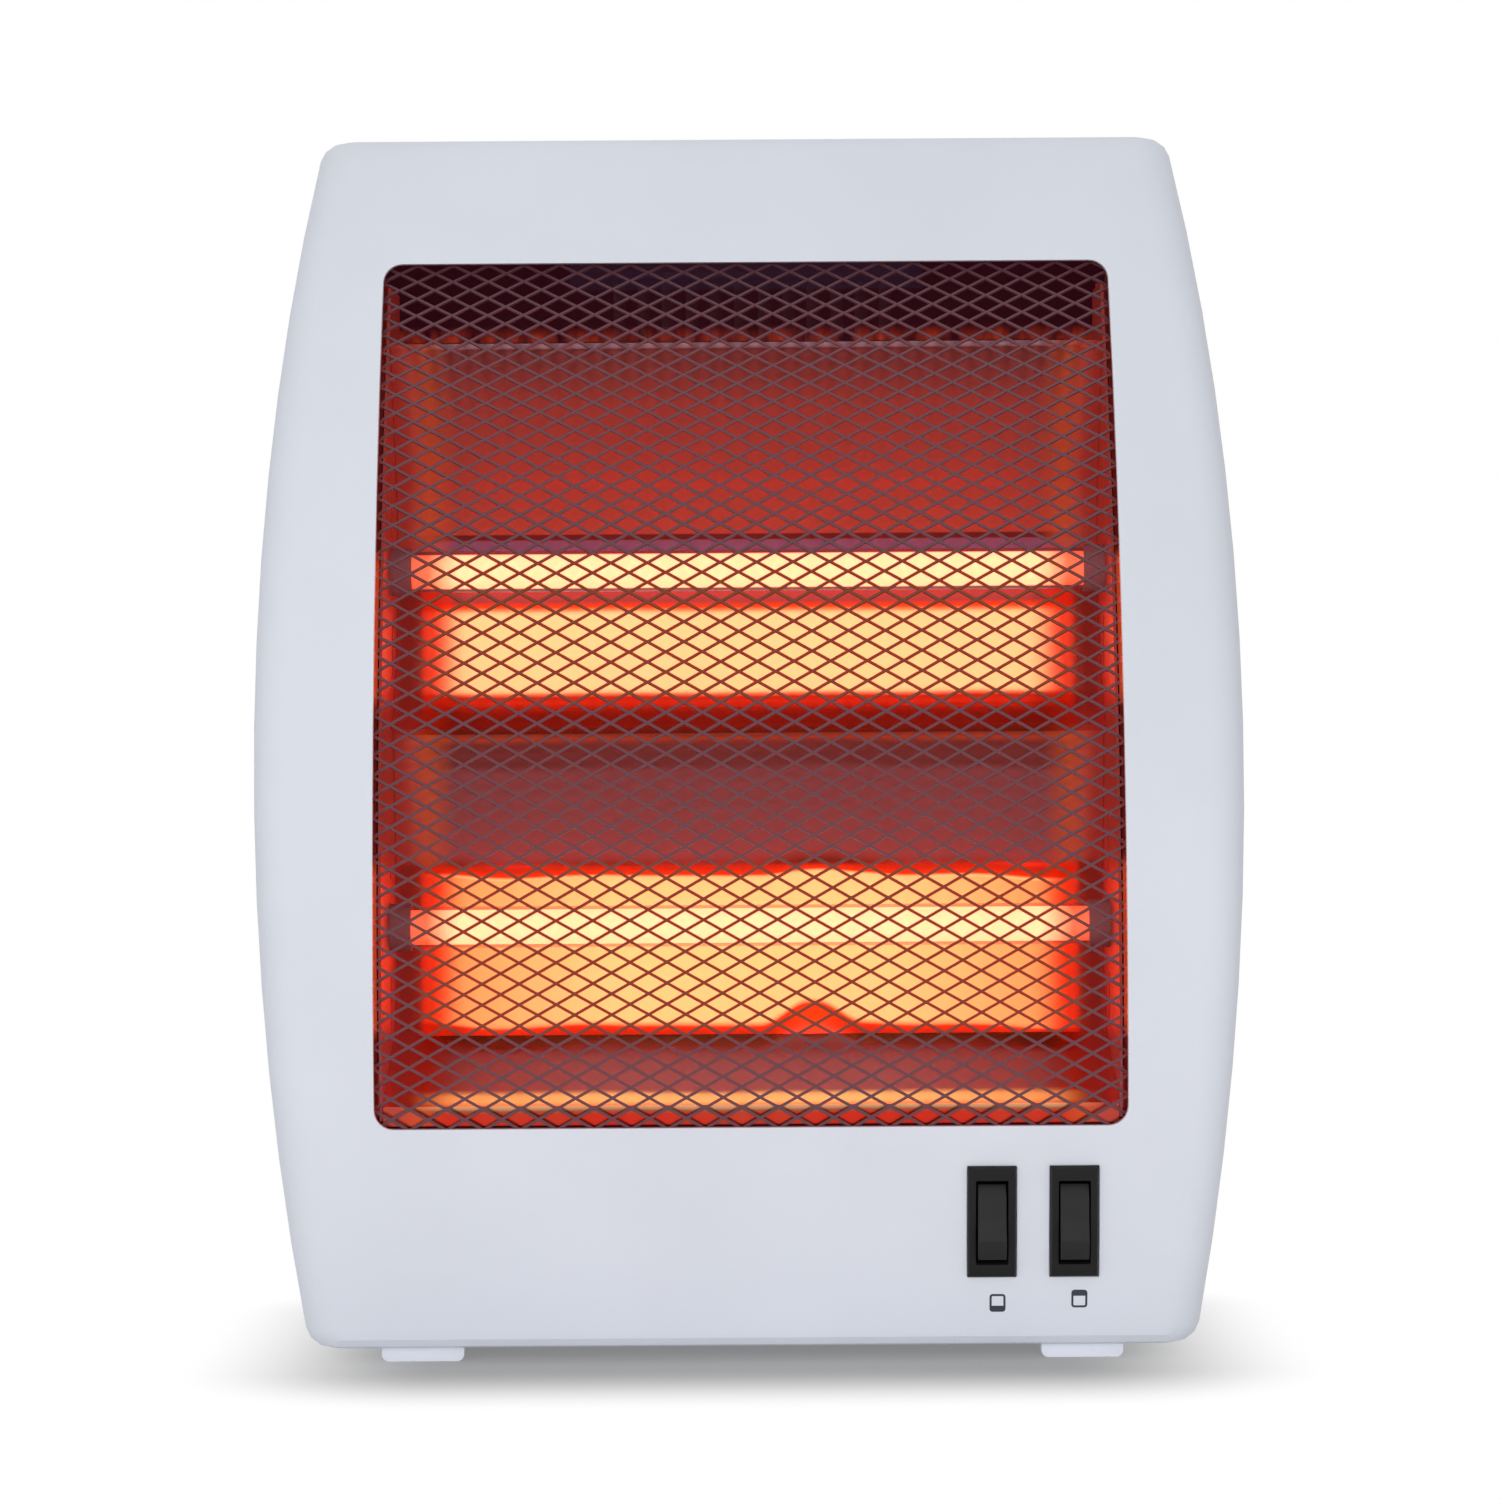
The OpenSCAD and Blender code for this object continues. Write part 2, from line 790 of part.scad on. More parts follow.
function lean_point(base, up, deep) =
  base + up*[sin(reflector_lean), cos(reflector_lean)]
  + deep*[cos(reflector_lean), -sin(reflector_lean)];
function trough(base, r, ends, shift) =
  [for (i = [0:arc_steps])
   let (up = ends[0] + (ends[1] - ends[0])*i/arc_steps)
   lean_point(base, up, trough_d - r + sqrt(pow(r, 2) - pow(up - shift, 2)))];

upper_tube = [upper_tube_y, upper_tube_z];
lower_tube = [lower_tube_y, lower_tube_z];
reflector_line = concat([lean_point(upper_tube, top_lip[0], top_lip[1])],
                        trough(upper_tube, upper_trough_r, upper_arc, upper_arc_shift),
                        [for (up = [ridge[0], -ridge[0]])
                         lean_point((upper_tube + lower_tube)/2, up, ridge[1])],
                        trough(lower_tube, lower_trough_r, lower_arc, 0),
                        [for (turned = [0, bottom_turn])
                         lean_point(lower_tube, bottom_lip[0], bottom_lip[1]) - [0, turned]]);

// The line's other side, one sheet thickness behind it, with mitred bends
function leftward(a, b) = [a[1] - b[1], b[0] - a[0]]/norm(b - a);
function mitre(n1, n2) = (n1 + n2)/(1 + n1*n2);
function behind(line, t) =
  let (n = len(line) - 1)
  [for (i = [n:-1:0])
   line[i] + t*mitre(leftward(line[max(i - 1, 0)], line[max(i, 1)]),
                     leftward(line[min(i, n - 1)], line[min(i + 1, n)]))];

module reflector() {
  color(polished)
    translate([-plate_x, 0, 0])
      rotate([90, 0, 90])
        linear_extrude(2*plate_x)
          polygon(concat(reflector_line, behind(reflector_line, sheet_t)));
}

// ---- End plates: they close the troughs and carry the tubes' caps ----
plate_front = 6.5;
plate_back = 4;
plate_ends = [2, 6];
plate_back_y = part_y - plate_back;
plate_low_z = window_z + plate_ends[0];
plate_high_z = window_top_z - plate_ends[1];
plate_steps = 8;
plate_tab_end = 5;
cooling_slot = [3, 16];
cooling_slot_up = 22;
plate_tab_r = 6;

module end_plate_outline() {
  zs = [for (i = [0:plate_steps]) plate_low_z + (plate_high_z - plate_low_z)*i/plate_steps];
  front = [for (z = zs) [front_y(z) + plate_front, z]];
  polygon(concat(front, [[plate_back_y, plate_high_z], [plate_back_y, plate_low_z]]));
}

module end_plate_tab(z) {
  difference() {
    translate([plate_x, plate_tab_y(z), z - plate_tab_r])
      cube([plate_tab_x + plate_tab_end - plate_x, sheet_t, 2*plate_tab_r]);
    translate([plate_tab_x, 0, z])
      rod_y(screw_r, plate_tab_y(z) - 1, plate_tab_y(z) + 2);
  }
}

module end_plate(side) {
  color(polished)
    mirror([side < 0 ? 1 : 0, 0, 0]) {
      difference() {
        translate([plate_x, 0, 0])
          rotate([90, 0, 90])
            linear_extrude(sheet_t)
              end_plate_outline();
        for (upper = [false, true])
          at_tube(upper) {
            rod_x(cap_nose_r + fit, plate_x - 1, plate_x + 2*sheet_t);
            for (dz = [-cooling_slot_up, cooling_slot_up])
              translate([plate_x - 1, -cooling_slot[0]/2, dz - cooling_slot[1]/2])
                cube([2 + sheet_t, cooling_slot[0], cooling_slot[1]]);
          }
      }
      for (z = plate_tab_zs)
        end_plate_tab(z);
    }
}

// ---- Rocker switches ----
module switch_body(i) {
  color(switch_black)
    at_switch(i)
      difference() {
        union() {
          hull() {
            translate([-bezel_w/2, seat_depth - bezel_edge, -bezel_h/2])
              cube([bezel_w, bezel_edge, bezel_h]);
            translate([bezel_slope - bezel_w/2, seat_depth - bezel_t, bezel_slope - bezel_h/2])
              cube([bezel_w - 2*bezel_slope, bezel_edge, bezel_h - 2*bezel_slope]);
          }
          translate([-body_slot_w/2, seat_depth - bezel_edge, -body_slot_h/2])
            cube([body_slot_w, switch_depth, body_slot_h]);
          for (side = [0, 1])
            mirror([0, 0, side])
              translate([-wing_w/2, 0, body_slot_h/2 - wing_lap])
                rotate([90, 0, 90])
                  linear_extrude(wing_w)
                    polygon([[wall + wing_gap, 0], [wall + wing_gap, wing_h], [wing_end, 0]]);
        }
        translate([-recess_w/2, -bezel_t - 1, -recess_h/2])
          cube([recess_w, recess_d + bezel_t + 1, recess_h]);
        translate([0, pivot_depth, 0])
          rod_x(pin_r + pin_fit, -rocker_w/2 - pin_reach - fit, rocker_w/2 + pin_reach + fit);
      }
}

// Rocker seen from the side: a valley, two noses and sloping ends, over a narrower heel
valley = -2.2;
nose = [5.9, -3.4];
tip = [rocker_h/2, -1.6];
neck = [tip[0] - 0.6, 1.5];
heel = [8.2, 6.6];
rocker_side = [nose, tip, neck, heel];

module rocker(i) {
  color(switch_black)
    at_switch(i)
      translate([0, pivot_depth, 0])
        rotate([-rocker_rest, 0, 0])
          translate([0, -pivot_depth, 0]) {
            translate([-rocker_w/2, 0, 0])
              rotate([90, 0, 90])
                linear_extrude(rocker_w)
                  polygon(concat([[valley, 0]], [for (p = rocker_side) [p[1], p[0]]],
                                 [for (i = [3:-1:0]) [rocker_side[i][1], -rocker_side[i][0]]]));
            translate([0, pivot_depth, 0])
              rod_x(pin_r, -rocker_w/2 - pin_reach, rocker_w/2 + pin_reach);
          }
}

// The two blades of each rocker switch and the three of the tip-over switch
module switch_terminals() {
  color(brass) {
    for (i = [0, 1])
      at_switch(i)
        for (z = [-blade_z, blade_z])
          translate([-blade_size[0]/2, blade_start, z - blade_size[2]/2])
            cube(blade_size);
    for (i = [-1:1])
      translate([tip_x + i*tip_blade_pitch - blade_size[2]/2, tip_y - blade_size[0]/2,
                 tip_floor_z + tip_size[2]])
        cube([blade_size[2], blade_size[0], blade_size[1]]);
  }
}

// ---- Mains entry: a bush with a flange in a recess of the back ----
gland_bore_r = 3.6;
gland_inner = 9;
gland_collar = [1.2, 4];
inner_back_y = half_d - wall;

module cord_gland() {
  color(switch_black)
    translate([gland_x, 0, gland_z])
      difference() {
        union() {
          rod_y(gland_hole_r - fit, inner_back_y - gland_recess - gland_inner, half_d - fit, 48);
          rod_y(gland_flange_r, half_d - gland_recess, half_d - fit, 48);
          rod_y(gland_hole_r + gland_collar[0], inner_back_y - gland_recess - gland_collar[1],
                inner_back_y - gland_recess, 48);
        }
        rod_y(gland_bore_r, 0, half_d + 1, 48);
      }
}

block_size = [34, 13, 15];
block_x = -40;
block_z = 30;
block_pitch = 10;
block_hole_r = 2;
block_screw_r = 2.2;

module terminal_block() {
  color(block_ivory)
    translate([block_x, inner_back_y, block_z])
      difference() {
        translate([-block_size[0]/2, -block_size[1], 0])
          cube(block_size);
        for (i = [-1:1])
          translate([i*block_pitch, -block_size[1]/2, -1]) {
            cylinder(r = block_hole_r, h = block_size[2] + 2, $fn = round_fn);
            translate([0, 0, block_size[2]/2 + 1])
              rod_y(block_screw_r, -block_size[1], -block_size[1]/2 + block_hole_r);
          }
      }
}

// ---- Tip-over switch: a sprung plunger that the floor pushes in ----
tip_bore_r = plunger_r + pin_fit;
collar_r = 5;
collar_t = 2;
tip_wall = 2;
plunger_nose = 0.8;
collar_z = plunger_travel + tip_floor_z + tip_wall;
cavity_top_z = tip_floor_z + tip_size[2] - tip_wall;
spring_r = 4.3;
spring_wire = 0.6;

module tip_switch_body() {
  color(block_ivory)
    translate([tip_x, tip_y, 0])
      difference() {
        translate([-tip_size[0]/2, -tip_size[1]/2, tip_floor_z])
          cube(tip_size);
        translate([0, 0, tip_floor_z - 1])
          cylinder(r = tip_bore_r, h = tip_size[2], $fn = round_fn);
        translate([0, 0, tip_floor_z + tip_wall - seat_gap])
          cylinder(r = collar_r + seat_gap, h = tip_size[2] - 2*tip_wall + seat_gap,
                   $fn = round_fn);
      }
}

module tip_plunger() {
  color(white_plastic)
    translate([tip_x, tip_y, 0]) {
      cylinder(r1 = plunger_r - plunger_nose, r2 = plunger_r, h = plunger_nose, $fn = round_fn);
      translate([0, 0, plunger_nose])
        cylinder(r = plunger_r, h = collar_z + collar_t - plunger_nose, $fn = round_fn);
      translate([0, 0, collar_z])
        cylinder(r = collar_r, h = collar_t, $fn = round_fn);
    }
}

module tip_spring() {
  color(steel)
    translate([tip_x, tip_y, collar_z + collar_t])
      difference() {
        cylinder(r = spring_r, h = cavity_top_z - collar_z - collar_t, $fn = round_fn);
        translate([0, 0, -1])
          cylinder(r = spring_r - spring_wire, h = body_h, $fn = round_fn);
      }
}

// ---- Screws: each goes this far into its pilot hole ----
case_screw_l = 12;
guard_screw_l = 6;
plate_screw_l = 8;
foot_screw_l = 5;

module screw(length) {
  rotate([-90, 0, 0]) {
    translate([0, 0, -length])
      cylinder(r = shank_r, h = length, $fn = round_fn);
    cylinder(r = head_r, h = head_h, $fn = round_fn);
  }
}

module case_screws() {
  color(steel)
    both_sides()
      for (p = case_points)
        translate([p[0], part_y + screw_floor, p[1]])
          screw(screw_floor + case_screw_l);
}

module guard_screws() {
  color(steel)
    both_sides()
      for (z = guard_tab_zs)
        translate([tab_x, guard_back(z) + guard_t, z])
          screw(guard_t + guard_screw_l);
}

module reflector_screws() {
  color(steel)
    both_sides()
      for (z = plate_tab_zs)
        translate([plate_tab_x, plate_tab_y(z) + sheet_t, z])
          screw(sheet_t + plate_screw_l);
}

module foot_screws() {
  color(steel)
    both_sides()
      for (y = foot_screw_ys)
        translate([foot_x, y, foot_h - foot_recess])
          rotate([-90, 0, 0])
            screw(foot_recess + wall + foot_screw_l);
}

front_cover();
rear_cover();
foot(-1);  // foot_left
foot(1);  // foot_right
guard_mesh();
reflector();
end_plate(-1);  // end_plate_left
end_plate(1);  // end_plate_right
quartz_tube(true);  // quartz_tube_upper
quartz_tube(false);  // quartz_tube_lower
heating_coil(true);  // heating_coil_upper
heating_coil(false);  // heating_coil_lower
ceramic_caps(true);  // ceramic_caps_upper
ceramic_caps(false);  // ceramic_caps_lower
tube_terminals();
switch_body(0);  // switch_body_left
switch_body(1);  // switch_body_right
rocker(0);  // rocker_left
rocker(1);  // rocker_right
switch_terminals();
terminal_block();
cord_gland();
tip_switch_body();
tip_plunger();
tip_spring();
case_screws();
foot_screws();
guard_screws();
reflector_screws();
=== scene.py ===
"""Looks of a two-tube electric bar heater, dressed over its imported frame."""
import math

import bmesh
import bpy
from bpy.props import FloatProperty, FloatVectorProperty, IntProperty, PointerProperty
from mathutils import Matrix, Vector, bvhtree


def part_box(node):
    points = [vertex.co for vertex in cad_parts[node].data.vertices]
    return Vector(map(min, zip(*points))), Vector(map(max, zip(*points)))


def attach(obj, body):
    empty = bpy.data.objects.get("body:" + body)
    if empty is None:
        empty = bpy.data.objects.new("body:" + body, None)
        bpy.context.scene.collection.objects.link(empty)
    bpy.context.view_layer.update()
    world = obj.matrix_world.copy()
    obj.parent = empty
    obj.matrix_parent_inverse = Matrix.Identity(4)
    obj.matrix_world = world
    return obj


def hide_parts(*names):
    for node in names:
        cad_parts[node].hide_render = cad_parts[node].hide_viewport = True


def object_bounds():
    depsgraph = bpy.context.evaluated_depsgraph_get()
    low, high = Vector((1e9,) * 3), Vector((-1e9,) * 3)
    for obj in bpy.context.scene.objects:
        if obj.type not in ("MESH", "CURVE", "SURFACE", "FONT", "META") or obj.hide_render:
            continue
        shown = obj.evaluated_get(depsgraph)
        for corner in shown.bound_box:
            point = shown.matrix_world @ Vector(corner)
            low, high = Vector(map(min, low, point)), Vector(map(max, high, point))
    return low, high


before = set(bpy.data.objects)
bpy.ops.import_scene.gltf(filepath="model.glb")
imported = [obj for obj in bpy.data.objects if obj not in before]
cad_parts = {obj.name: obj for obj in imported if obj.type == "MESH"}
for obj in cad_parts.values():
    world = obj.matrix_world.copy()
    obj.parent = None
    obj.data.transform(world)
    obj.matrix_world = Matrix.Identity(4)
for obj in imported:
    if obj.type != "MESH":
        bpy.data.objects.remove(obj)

bl_info = {
    "name": "Electric bar heater",
    "version": (1, 0, 0),
    "blender": (4, 5, 0),
    "location": "View3D > Sidebar > Bar heater",
    "description": "Models and finishes the pieces of a two-tube electric bar heater",
    "category": "Object",
}

MM = 0.001
NEAR = 0.01 * MM            # a point this close to a line or place is on it
CAD_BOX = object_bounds()
HOUSING = "housing"
FRONT_R = 429.8 * MM        # radius of the housing's front
FRONT_CENTRE_Y = CAD_BOX[0][1] + FRONT_R
PEAK_Z = 104 * MM           # height of the front's foremost line
QUARTER = math.radians(90)
UPRIGHT = (QUARTER, 0, 0)   # stands a flat primitive up
SIDES = (-1, 1)


# ---- Sizes and colours that a user may change ----

class HeaterSizes(bpy.types.PropertyGroup):
    """Sizes of the pieces that are modelled here"""
    mesh_pitch_x: FloatProperty(
        name="Mesh pitch across", description="Width of one diamond of the guard",
        default=10.35 * MM, unit="LENGTH")
    mesh_pitch_z: FloatProperty(
        name="Mesh pitch up", description="Height of one diamond of the guard",
        default=5.86 * MM, unit="LENGTH")
    strand: FloatProperty(
        name="Strand width", description="Width of the guard's strands",
        default=0.78 * MM, unit="LENGTH")
    edge_round: FloatProperty(
        name="Edge round", description="Radius on the edges of the switches",
        default=0.35 * MM, unit="LENGTH")
    coil_turns: IntProperty(
        name="Coil turns", description="Turns of the wire in one tube", default=30)


class HeaterColours(bpy.types.PropertyGroup):
    """Colours of the finishes"""
    shell: FloatVectorProperty(
        name="Housing", description="Colour of the moulded housing",
        default=(0.69, 0.72, 0.79), size=3, subtype="COLOR")
    guard: FloatVectorProperty(
        name="Guard", description="Colour of the guard's coat",
        default=(0.112, 0.043, 0.057), size=3, subtype="COLOR")
    glow: FloatVectorProperty(
        name="Glow", description="Light of a hot tube",
        default=(1.0, 0.156, 0.076), size=3, subtype="COLOR")
    glow_strength: FloatProperty(
        name="Glow strength", description="Strength of the tubes' light", default=5.0)
    black: FloatVectorProperty(
        name="Switches", description="Colour of the switches' plastic",
        default=(0.020, 0.020, 0.020), size=3, subtype="COLOR")
    ink: FloatVectorProperty(
        name="Print", description="Colour of the printed signs",
        default=(0.032, 0.042, 0.060), size=3, subtype="COLOR")


class HeaterStage(bpy.types.PropertyGroup):
    """Camera and lights"""
    camera_distance: FloatProperty(
        name="Camera distance", description="From the camera to the middle of the base",
        default=1.2935, unit="LENGTH")
    camera_height: FloatProperty(
        name="Camera height", description="Height of the camera over the floor",
        default=0.1726, unit="LENGTH")
    camera_roll: FloatProperty(
        name="Camera roll", description="Tilt of the picture",
        default=math.radians(-0.38), subtype="ANGLE")
    lens: FloatProperty(name="Lens", description="Focal length in millimetres", default=105.86)
    sky: FloatProperty(name="Sky", description="Light from all round", default=0.50)
    above: FloatProperty(
        name="Light above", description="Power of the soft light overhead", default=3.5)
    front: FloatProperty(
        name="Front light", description="Power of the low light in front", default=34.5)


def palette():
    return bpy.context.scene.heater_colours


# ---- Working by hand on a mesh ----

def pick(*pieces):
    """Makes these the only selected objects, the first one active."""
    if bpy.context.object and bpy.context.object.mode != "OBJECT":
        bpy.ops.object.mode_set(mode="OBJECT")
    bpy.ops.object.select_all(action="DESELECT")
    for piece in pieces:
        piece.select_set(True)
    bpy.context.view_layer.objects.active = pieces[0]


def settle(piece):
    """Puts the piece's place, turn and scale into its mesh."""
    pick(piece)
    bpy.ops.object.transform_apply(location=True, rotation=True, scale=True)


def primitive(kind, stretch=(1, 1, 1), **settings):
    """Adds a primitive, stretches it along its own axes and settles it."""
    getattr(bpy.ops.mesh, f"primitive_{kind}_add")(**settings)
    piece = bpy.context.object
    piece.scale = stretch
    settle(piece)
    return piece


def modify(piece, kind, **settings):
    """Adds a modifier and applies it."""
    pick(piece)
    modifier = piece.modifiers.new(kind.title(), kind)
    for name, value in settings.items():
        setattr(modifier, name, value)
    bpy.ops.object.modifier_apply(modifier=modifier.name)


class Editing:
    """Edit mode on one piece, with nothing selected at the start."""

    def __init__(self, piece, kind="VERT"):
        self.piece = piece
        self.kind = kind

    def __enter__(self):
        pick(self.piece)
        bpy.ops.object.mode_set(mode="EDIT")
        bpy.ops.mesh.select_mode(type=self.kind)
        bpy.ops.mesh.select_all(action="DESELECT")
        return self

    def __exit__(self, *failure):
        bpy.ops.object.mode_set(mode="OBJECT")

    def select(self, test):
        """Selects the vertices, edges or faces whose middle passes the test."""
        mesh = bmesh.from_edit_mesh(self.piece.data)
        parts = {"VERT": mesh.verts, "EDGE": mesh.edges, "FACE": mesh.faces}[self.kind]
        for part in parts:
            if self.kind == "VERT":
                middle = part.co
            elif self.kind == "EDGE":
                middle = (part.verts[0].co + part.verts[1].co) / 2
            else:
                middle = part.calc_center_median()
            part.select_set(bool(test(middle, part)))
        mesh.select_flush_mode()
        bmesh.update_edit_mesh(self.piece.data)

    def everything(self):
        bpy.ops.mesh.select_all(action="SELECT")

    def cut(self, place, facing, **settings):
        """Cuts the whole piece along a plane."""
        self.everything()
        bpy.ops.mesh.bisect(plane_co=place, plane_no=facing, **settings)


def join(first, *others):
    """Makes one piece of several."""
    pick(first, *others)
    bpy.ops.object.join()
    return first


def copied(piece, move, turn=Matrix()):
    """A copy with its own mesh, turned about the origin and then moved."""
    twin = piece.copy()
    twin.data = piece.data.copy()
    bpy.context.scene.collection.objects.link(twin)
    twin.data.transform(Matrix.Translation(move) @ turn)
    return twin


def named(piece, name, look, slot, *nodes, body=HOUSING, smooth=30):
    """Settles a finished piece: its name, finish, shading, body and the solids it replaces. Its slot
    is not used.
    """
    settle(piece)
    piece.name = name
    piece.data.name = name
    if look is not None:
        piece.data.materials.clear()
        piece.data.materials.append(finish(look))
    pick(piece)
    bpy.ops.object.shade_smooth_by_angle(angle=math.radians(smooth))
    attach(piece, body)
    if nodes:
        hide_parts(*nodes)
    return piece


def merged_copy(node, weld=0.002 * MM, flat=0.4):
    """A copy of a solid's mesh with its triangles merged and its flat faces joined."""
    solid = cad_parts[node]
    piece = bpy.data.objects.new(node + "_copy", solid.data.copy())
    bpy.context.scene.collection.objects.link(piece)
    pick(piece)
    bpy.ops.mesh.customdata_custom_splitnormals_clear()
    with Editing(piece, "FACE") as edit:
        edit.everything()
        bpy.ops.mesh.remove_doubles(threshold=weld)
        bpy.ops.mesh.dissolve_limited(angle_limit=math.radians(flat))
    return piece


def round_edges(piece, radius, steps=2, sharp=35):
    """Rounds the edges that turn by more than an angle."""
    modify(piece, "BEVEL", width=radius, segments=steps, limit_method="ANGLE",
           angle_limit=math.radians(sharp), use_clamp_overlap=True, harden_normals=False)
    modify(piece, "WEIGHTED_NORMAL", keep_sharp=True, weight=60)


def rounded(node, name, look, slot, radius, steps=2, body=HOUSING):
    """A copy of a solid with rounded edges, which stands for it."""
    piece = merged_copy(node)
    round_edges(piece, radius, steps)
    return named(piece, name, look, slot, node, body=body)


def island_boxes(node):
    """The lowest and highest corners of each solid of a node."""
    with Editing(merged_copy(node)) as edit:
        edit.everything()
        bpy.ops.mesh.separate(type="LOOSE")
    parts = [o for o in bpy.context.selected_objects if o.type == "MESH"]
    boxes = []
    for part in parts:
        points = [v.co for v in part.data.vertices]
        boxes.append([Vector([end(p[i] for p in points) for i in range(3)]) for end in (min, max)])
    for part in parts:
        bpy.data.objects.remove(part)
    return boxes


def wound(axis, turns, rise, **circle):
    """A wire wound by a screw about an axis, with open ends."""
    wire = primitive("circle", **circle)
    modify(wire, "SCREW", axis=axis, angle=math.radians(360), iterations=turns, steps=20,
           render_steps=20, screw_offset=rise, use_merge_vertices=False)
    return wire


# ---- Working with shader maths ----

class Wire:
    """An output of a shader node, which takes part in sums like a number."""

    def __init__(self, shader, socket):
        self.shader = shader
        self.socket = socket

    def maths(self, operation, *values):
        sockets = dict(enumerate(values))
        return self.shader.add("ShaderNodeMath", {"operation": operation}, sockets)

    def __add__(self, other):
        return self.maths("ADD", self, other)

    __radd__ = __add__

    def __sub__(self, other):
        return self.maths("SUBTRACT", self, other)

    def __rsub__(self, other):
        return self.maths("SUBTRACT", other, self)

    def __mul__(self, other):
        return self.maths("MULTIPLY", self, other)

    __rmul__ = __mul__

    def __abs__(self):
        return self.maths("ABSOLUTE", self)

    def __pow__(self, other):
        return self.maths("POWER", self, other)

    def over(self, edge):
        return self.maths("GREATER_THAN", self, edge)

    def under(self, edge):
        return self.maths("LESS_THAN", self, edge)

    def either(self, other):
        return self.maths("MAXIMUM", self, other)

    def rise(self, low, high):
        """0 below low, 1 above high and an even rise between."""
        return self.shader.add("ShaderNodeMapRange", {"clamp": True},
                               {"Value": self, "From Min": low, "From Max": high})

    def fall(self, low, high):
        """1 below low, 0 above high and an even fall between."""
        return 1 - self.rise(low, high)

    def band(self, low, high, soft=0.4):
        """1 between low and high, and 0 a little further out."""
        return self.rise(low - soft, low) - self.rise(high, high + soft)

    def eased(self):
        """The same way from 0 to 1 with a soft start and end."""
        return self * self * (3 - 2 * self)


def rgba(colour):
    return colour if isinstance(colour, Wire) else (*colour, 1)


class Shader:
    """A material that is written as sums and calls."""

    def __init__(self, name, world=None):
        self.material = world or bpy.data.materials.new(name)
        self.material.use_nodes = True
        self.tree = self.material.node_tree
        self.tree.nodes.clear()

    def add(self, kind, settings=None, sockets=None, output=0):
        """Adds one node: its kind, its settings, and the values or links of its sockets."""
        node = self.tree.nodes.new(kind)
        for name, value in (settings or {}).items():
            if name == "stops":
                ramp = node.color_ramp
                while len(ramp.elements) > 1:
                    ramp.elements.remove(ramp.elements[-1])
                for i, (place, colour) in enumerate(value):
                    element = ramp.elements[0] if i == 0 else ramp.elements.new(place)
                    element.position = place
                    element.color = (*colour, 1)
            else:
                setattr(node, name, value)
        for name, value in (sockets or {}).items():
            if isinstance(value, Wire):
                self.tree.links.new(value.socket, node.inputs[name])
            else:
                node.inputs[name].default_value = value
        return Wire(self, node.outputs[output])

    def axes(self):
        """The three object coordinates in millimetres."""
        here = self.add("ShaderNodeTexCoord", output="Object")
        return [self.add("ShaderNodeSeparateXYZ", None, {"Vector": here}, i) * (1 / MM)
                for i in range(3)]

    def facing(self, axis):
        """How far the surface faces along one axis, from -1 to 1."""
        normal = self.add("ShaderNodeNewGeometry", output="Normal")
        return self.add("ShaderNodeSeparateXYZ", None, {"Vector": normal}, axis)

    def noise(self, scale, detail=3.0, rough=0.5, stretch=(1, 1, 1)):
        """Noise from 0 to 1 with scale features a metre."""
        here = self.add("ShaderNodeTexCoord", output="Object")
        here = self.add("ShaderNodeMapping", None, {"Vector": here, "Scale": stretch})
        return self.add("ShaderNodeTexNoise", None,
                        {"Vector": here, "Scale": scale, "Detail": detail, "Roughness": rough})

    def mix(self, amount, first, second):
        """A colour between two."""
        return self.add("ShaderNodeMix", {"data_type": "RGBA"},
                        {0: amount, 6: rgba(first), 7: rgba(second)}, 2)

    def bump(self, height, distance):
        return self.add("ShaderNodeBump", None,
                        {"Height": height, "Distance": distance, "Strength": 1.0})

    def surface(self, colour, roughness, light=None, strength=1.0, **sockets):
        """A Principled surface, with its own light where one is given."""
        values = {"Base Color": rgba(colour), "Roughness": roughness}
        if light is not None:
            values["Emission Color"] = rgba(light)
            values["Emission Strength"] = strength
        for name, value in sockets.items():
            values[name.replace("_", " ")] = value
        return self.add("ShaderNodeBsdfPrincipled", None, values)

    def blend(self, amount, first, second):
        """A surface between two."""
        return self.add("ShaderNodeMixShader", None, {0: amount, 1: first, 2: second})

    def done(self, surface, kind="ShaderNodeOutputMaterial"):
        output = self.tree.nodes.new(kind)
        self.tree.links.new(surface.socket, output.inputs["Surface"])
        return self.material


# ---- Finishes: places and heights in them are in millimetres ----

FINISHES = {}
TUBE_LIGHT = (
    # heights where the light of a tube and its reflection begins, and where it ends
    ((184, 189), (226, 230)),
    ((91, 96), (138, 143)),
)
WINDOW_X = (118, 119)       # how far the tubes' painted light reaches inside the front cover
WINDOW_LOW = (48, 49)
WINDOW_HIGH = (326, 327)
SKIN = (1.2, 2.4)           # behind the front's curve, where the cover's inside starts
VENT_HALF_W = 48
VENT_LOW, VENT_HIGH = 60, 318
POCKET_HALF_W = 54
POCKET_LOW, POCKET_HIGH = 314, 321.5   # the wall under the grip pocket
GUARD_SIDE = (104.4, 105.4)            # where the guard folds back
TUBE_END = 84                          # where a tube's light starts to fade


def finish(look):
    """Each finish is made once, when a piece first asks for it."""
    if look not in FINISHES:
        FINISHES[look] = look()
    return FINISHES[look]


def mottled(paint, colour, rough, grain=0.012, grain_scale=2600, mottle=0.02):
    """Tone, roughness and bump of moulded plastic: a faint mottle and a spark-eroded grain."""
    cloud = paint.noise(14, 3)
    fine = paint.noise(grain_scale, 2, 0.6)
    dark = [c * (1 - mottle) for c in colour]
    light = [min(1, c * (1 + mottle)) for c in colour]
    tone = paint.mix(cloud.rise(0.35, 0.65), dark, light)
    return tone, rough - 0.04 + 0.08 * cloud + 0.05 * fine, paint.bump(fine, grain * MM)


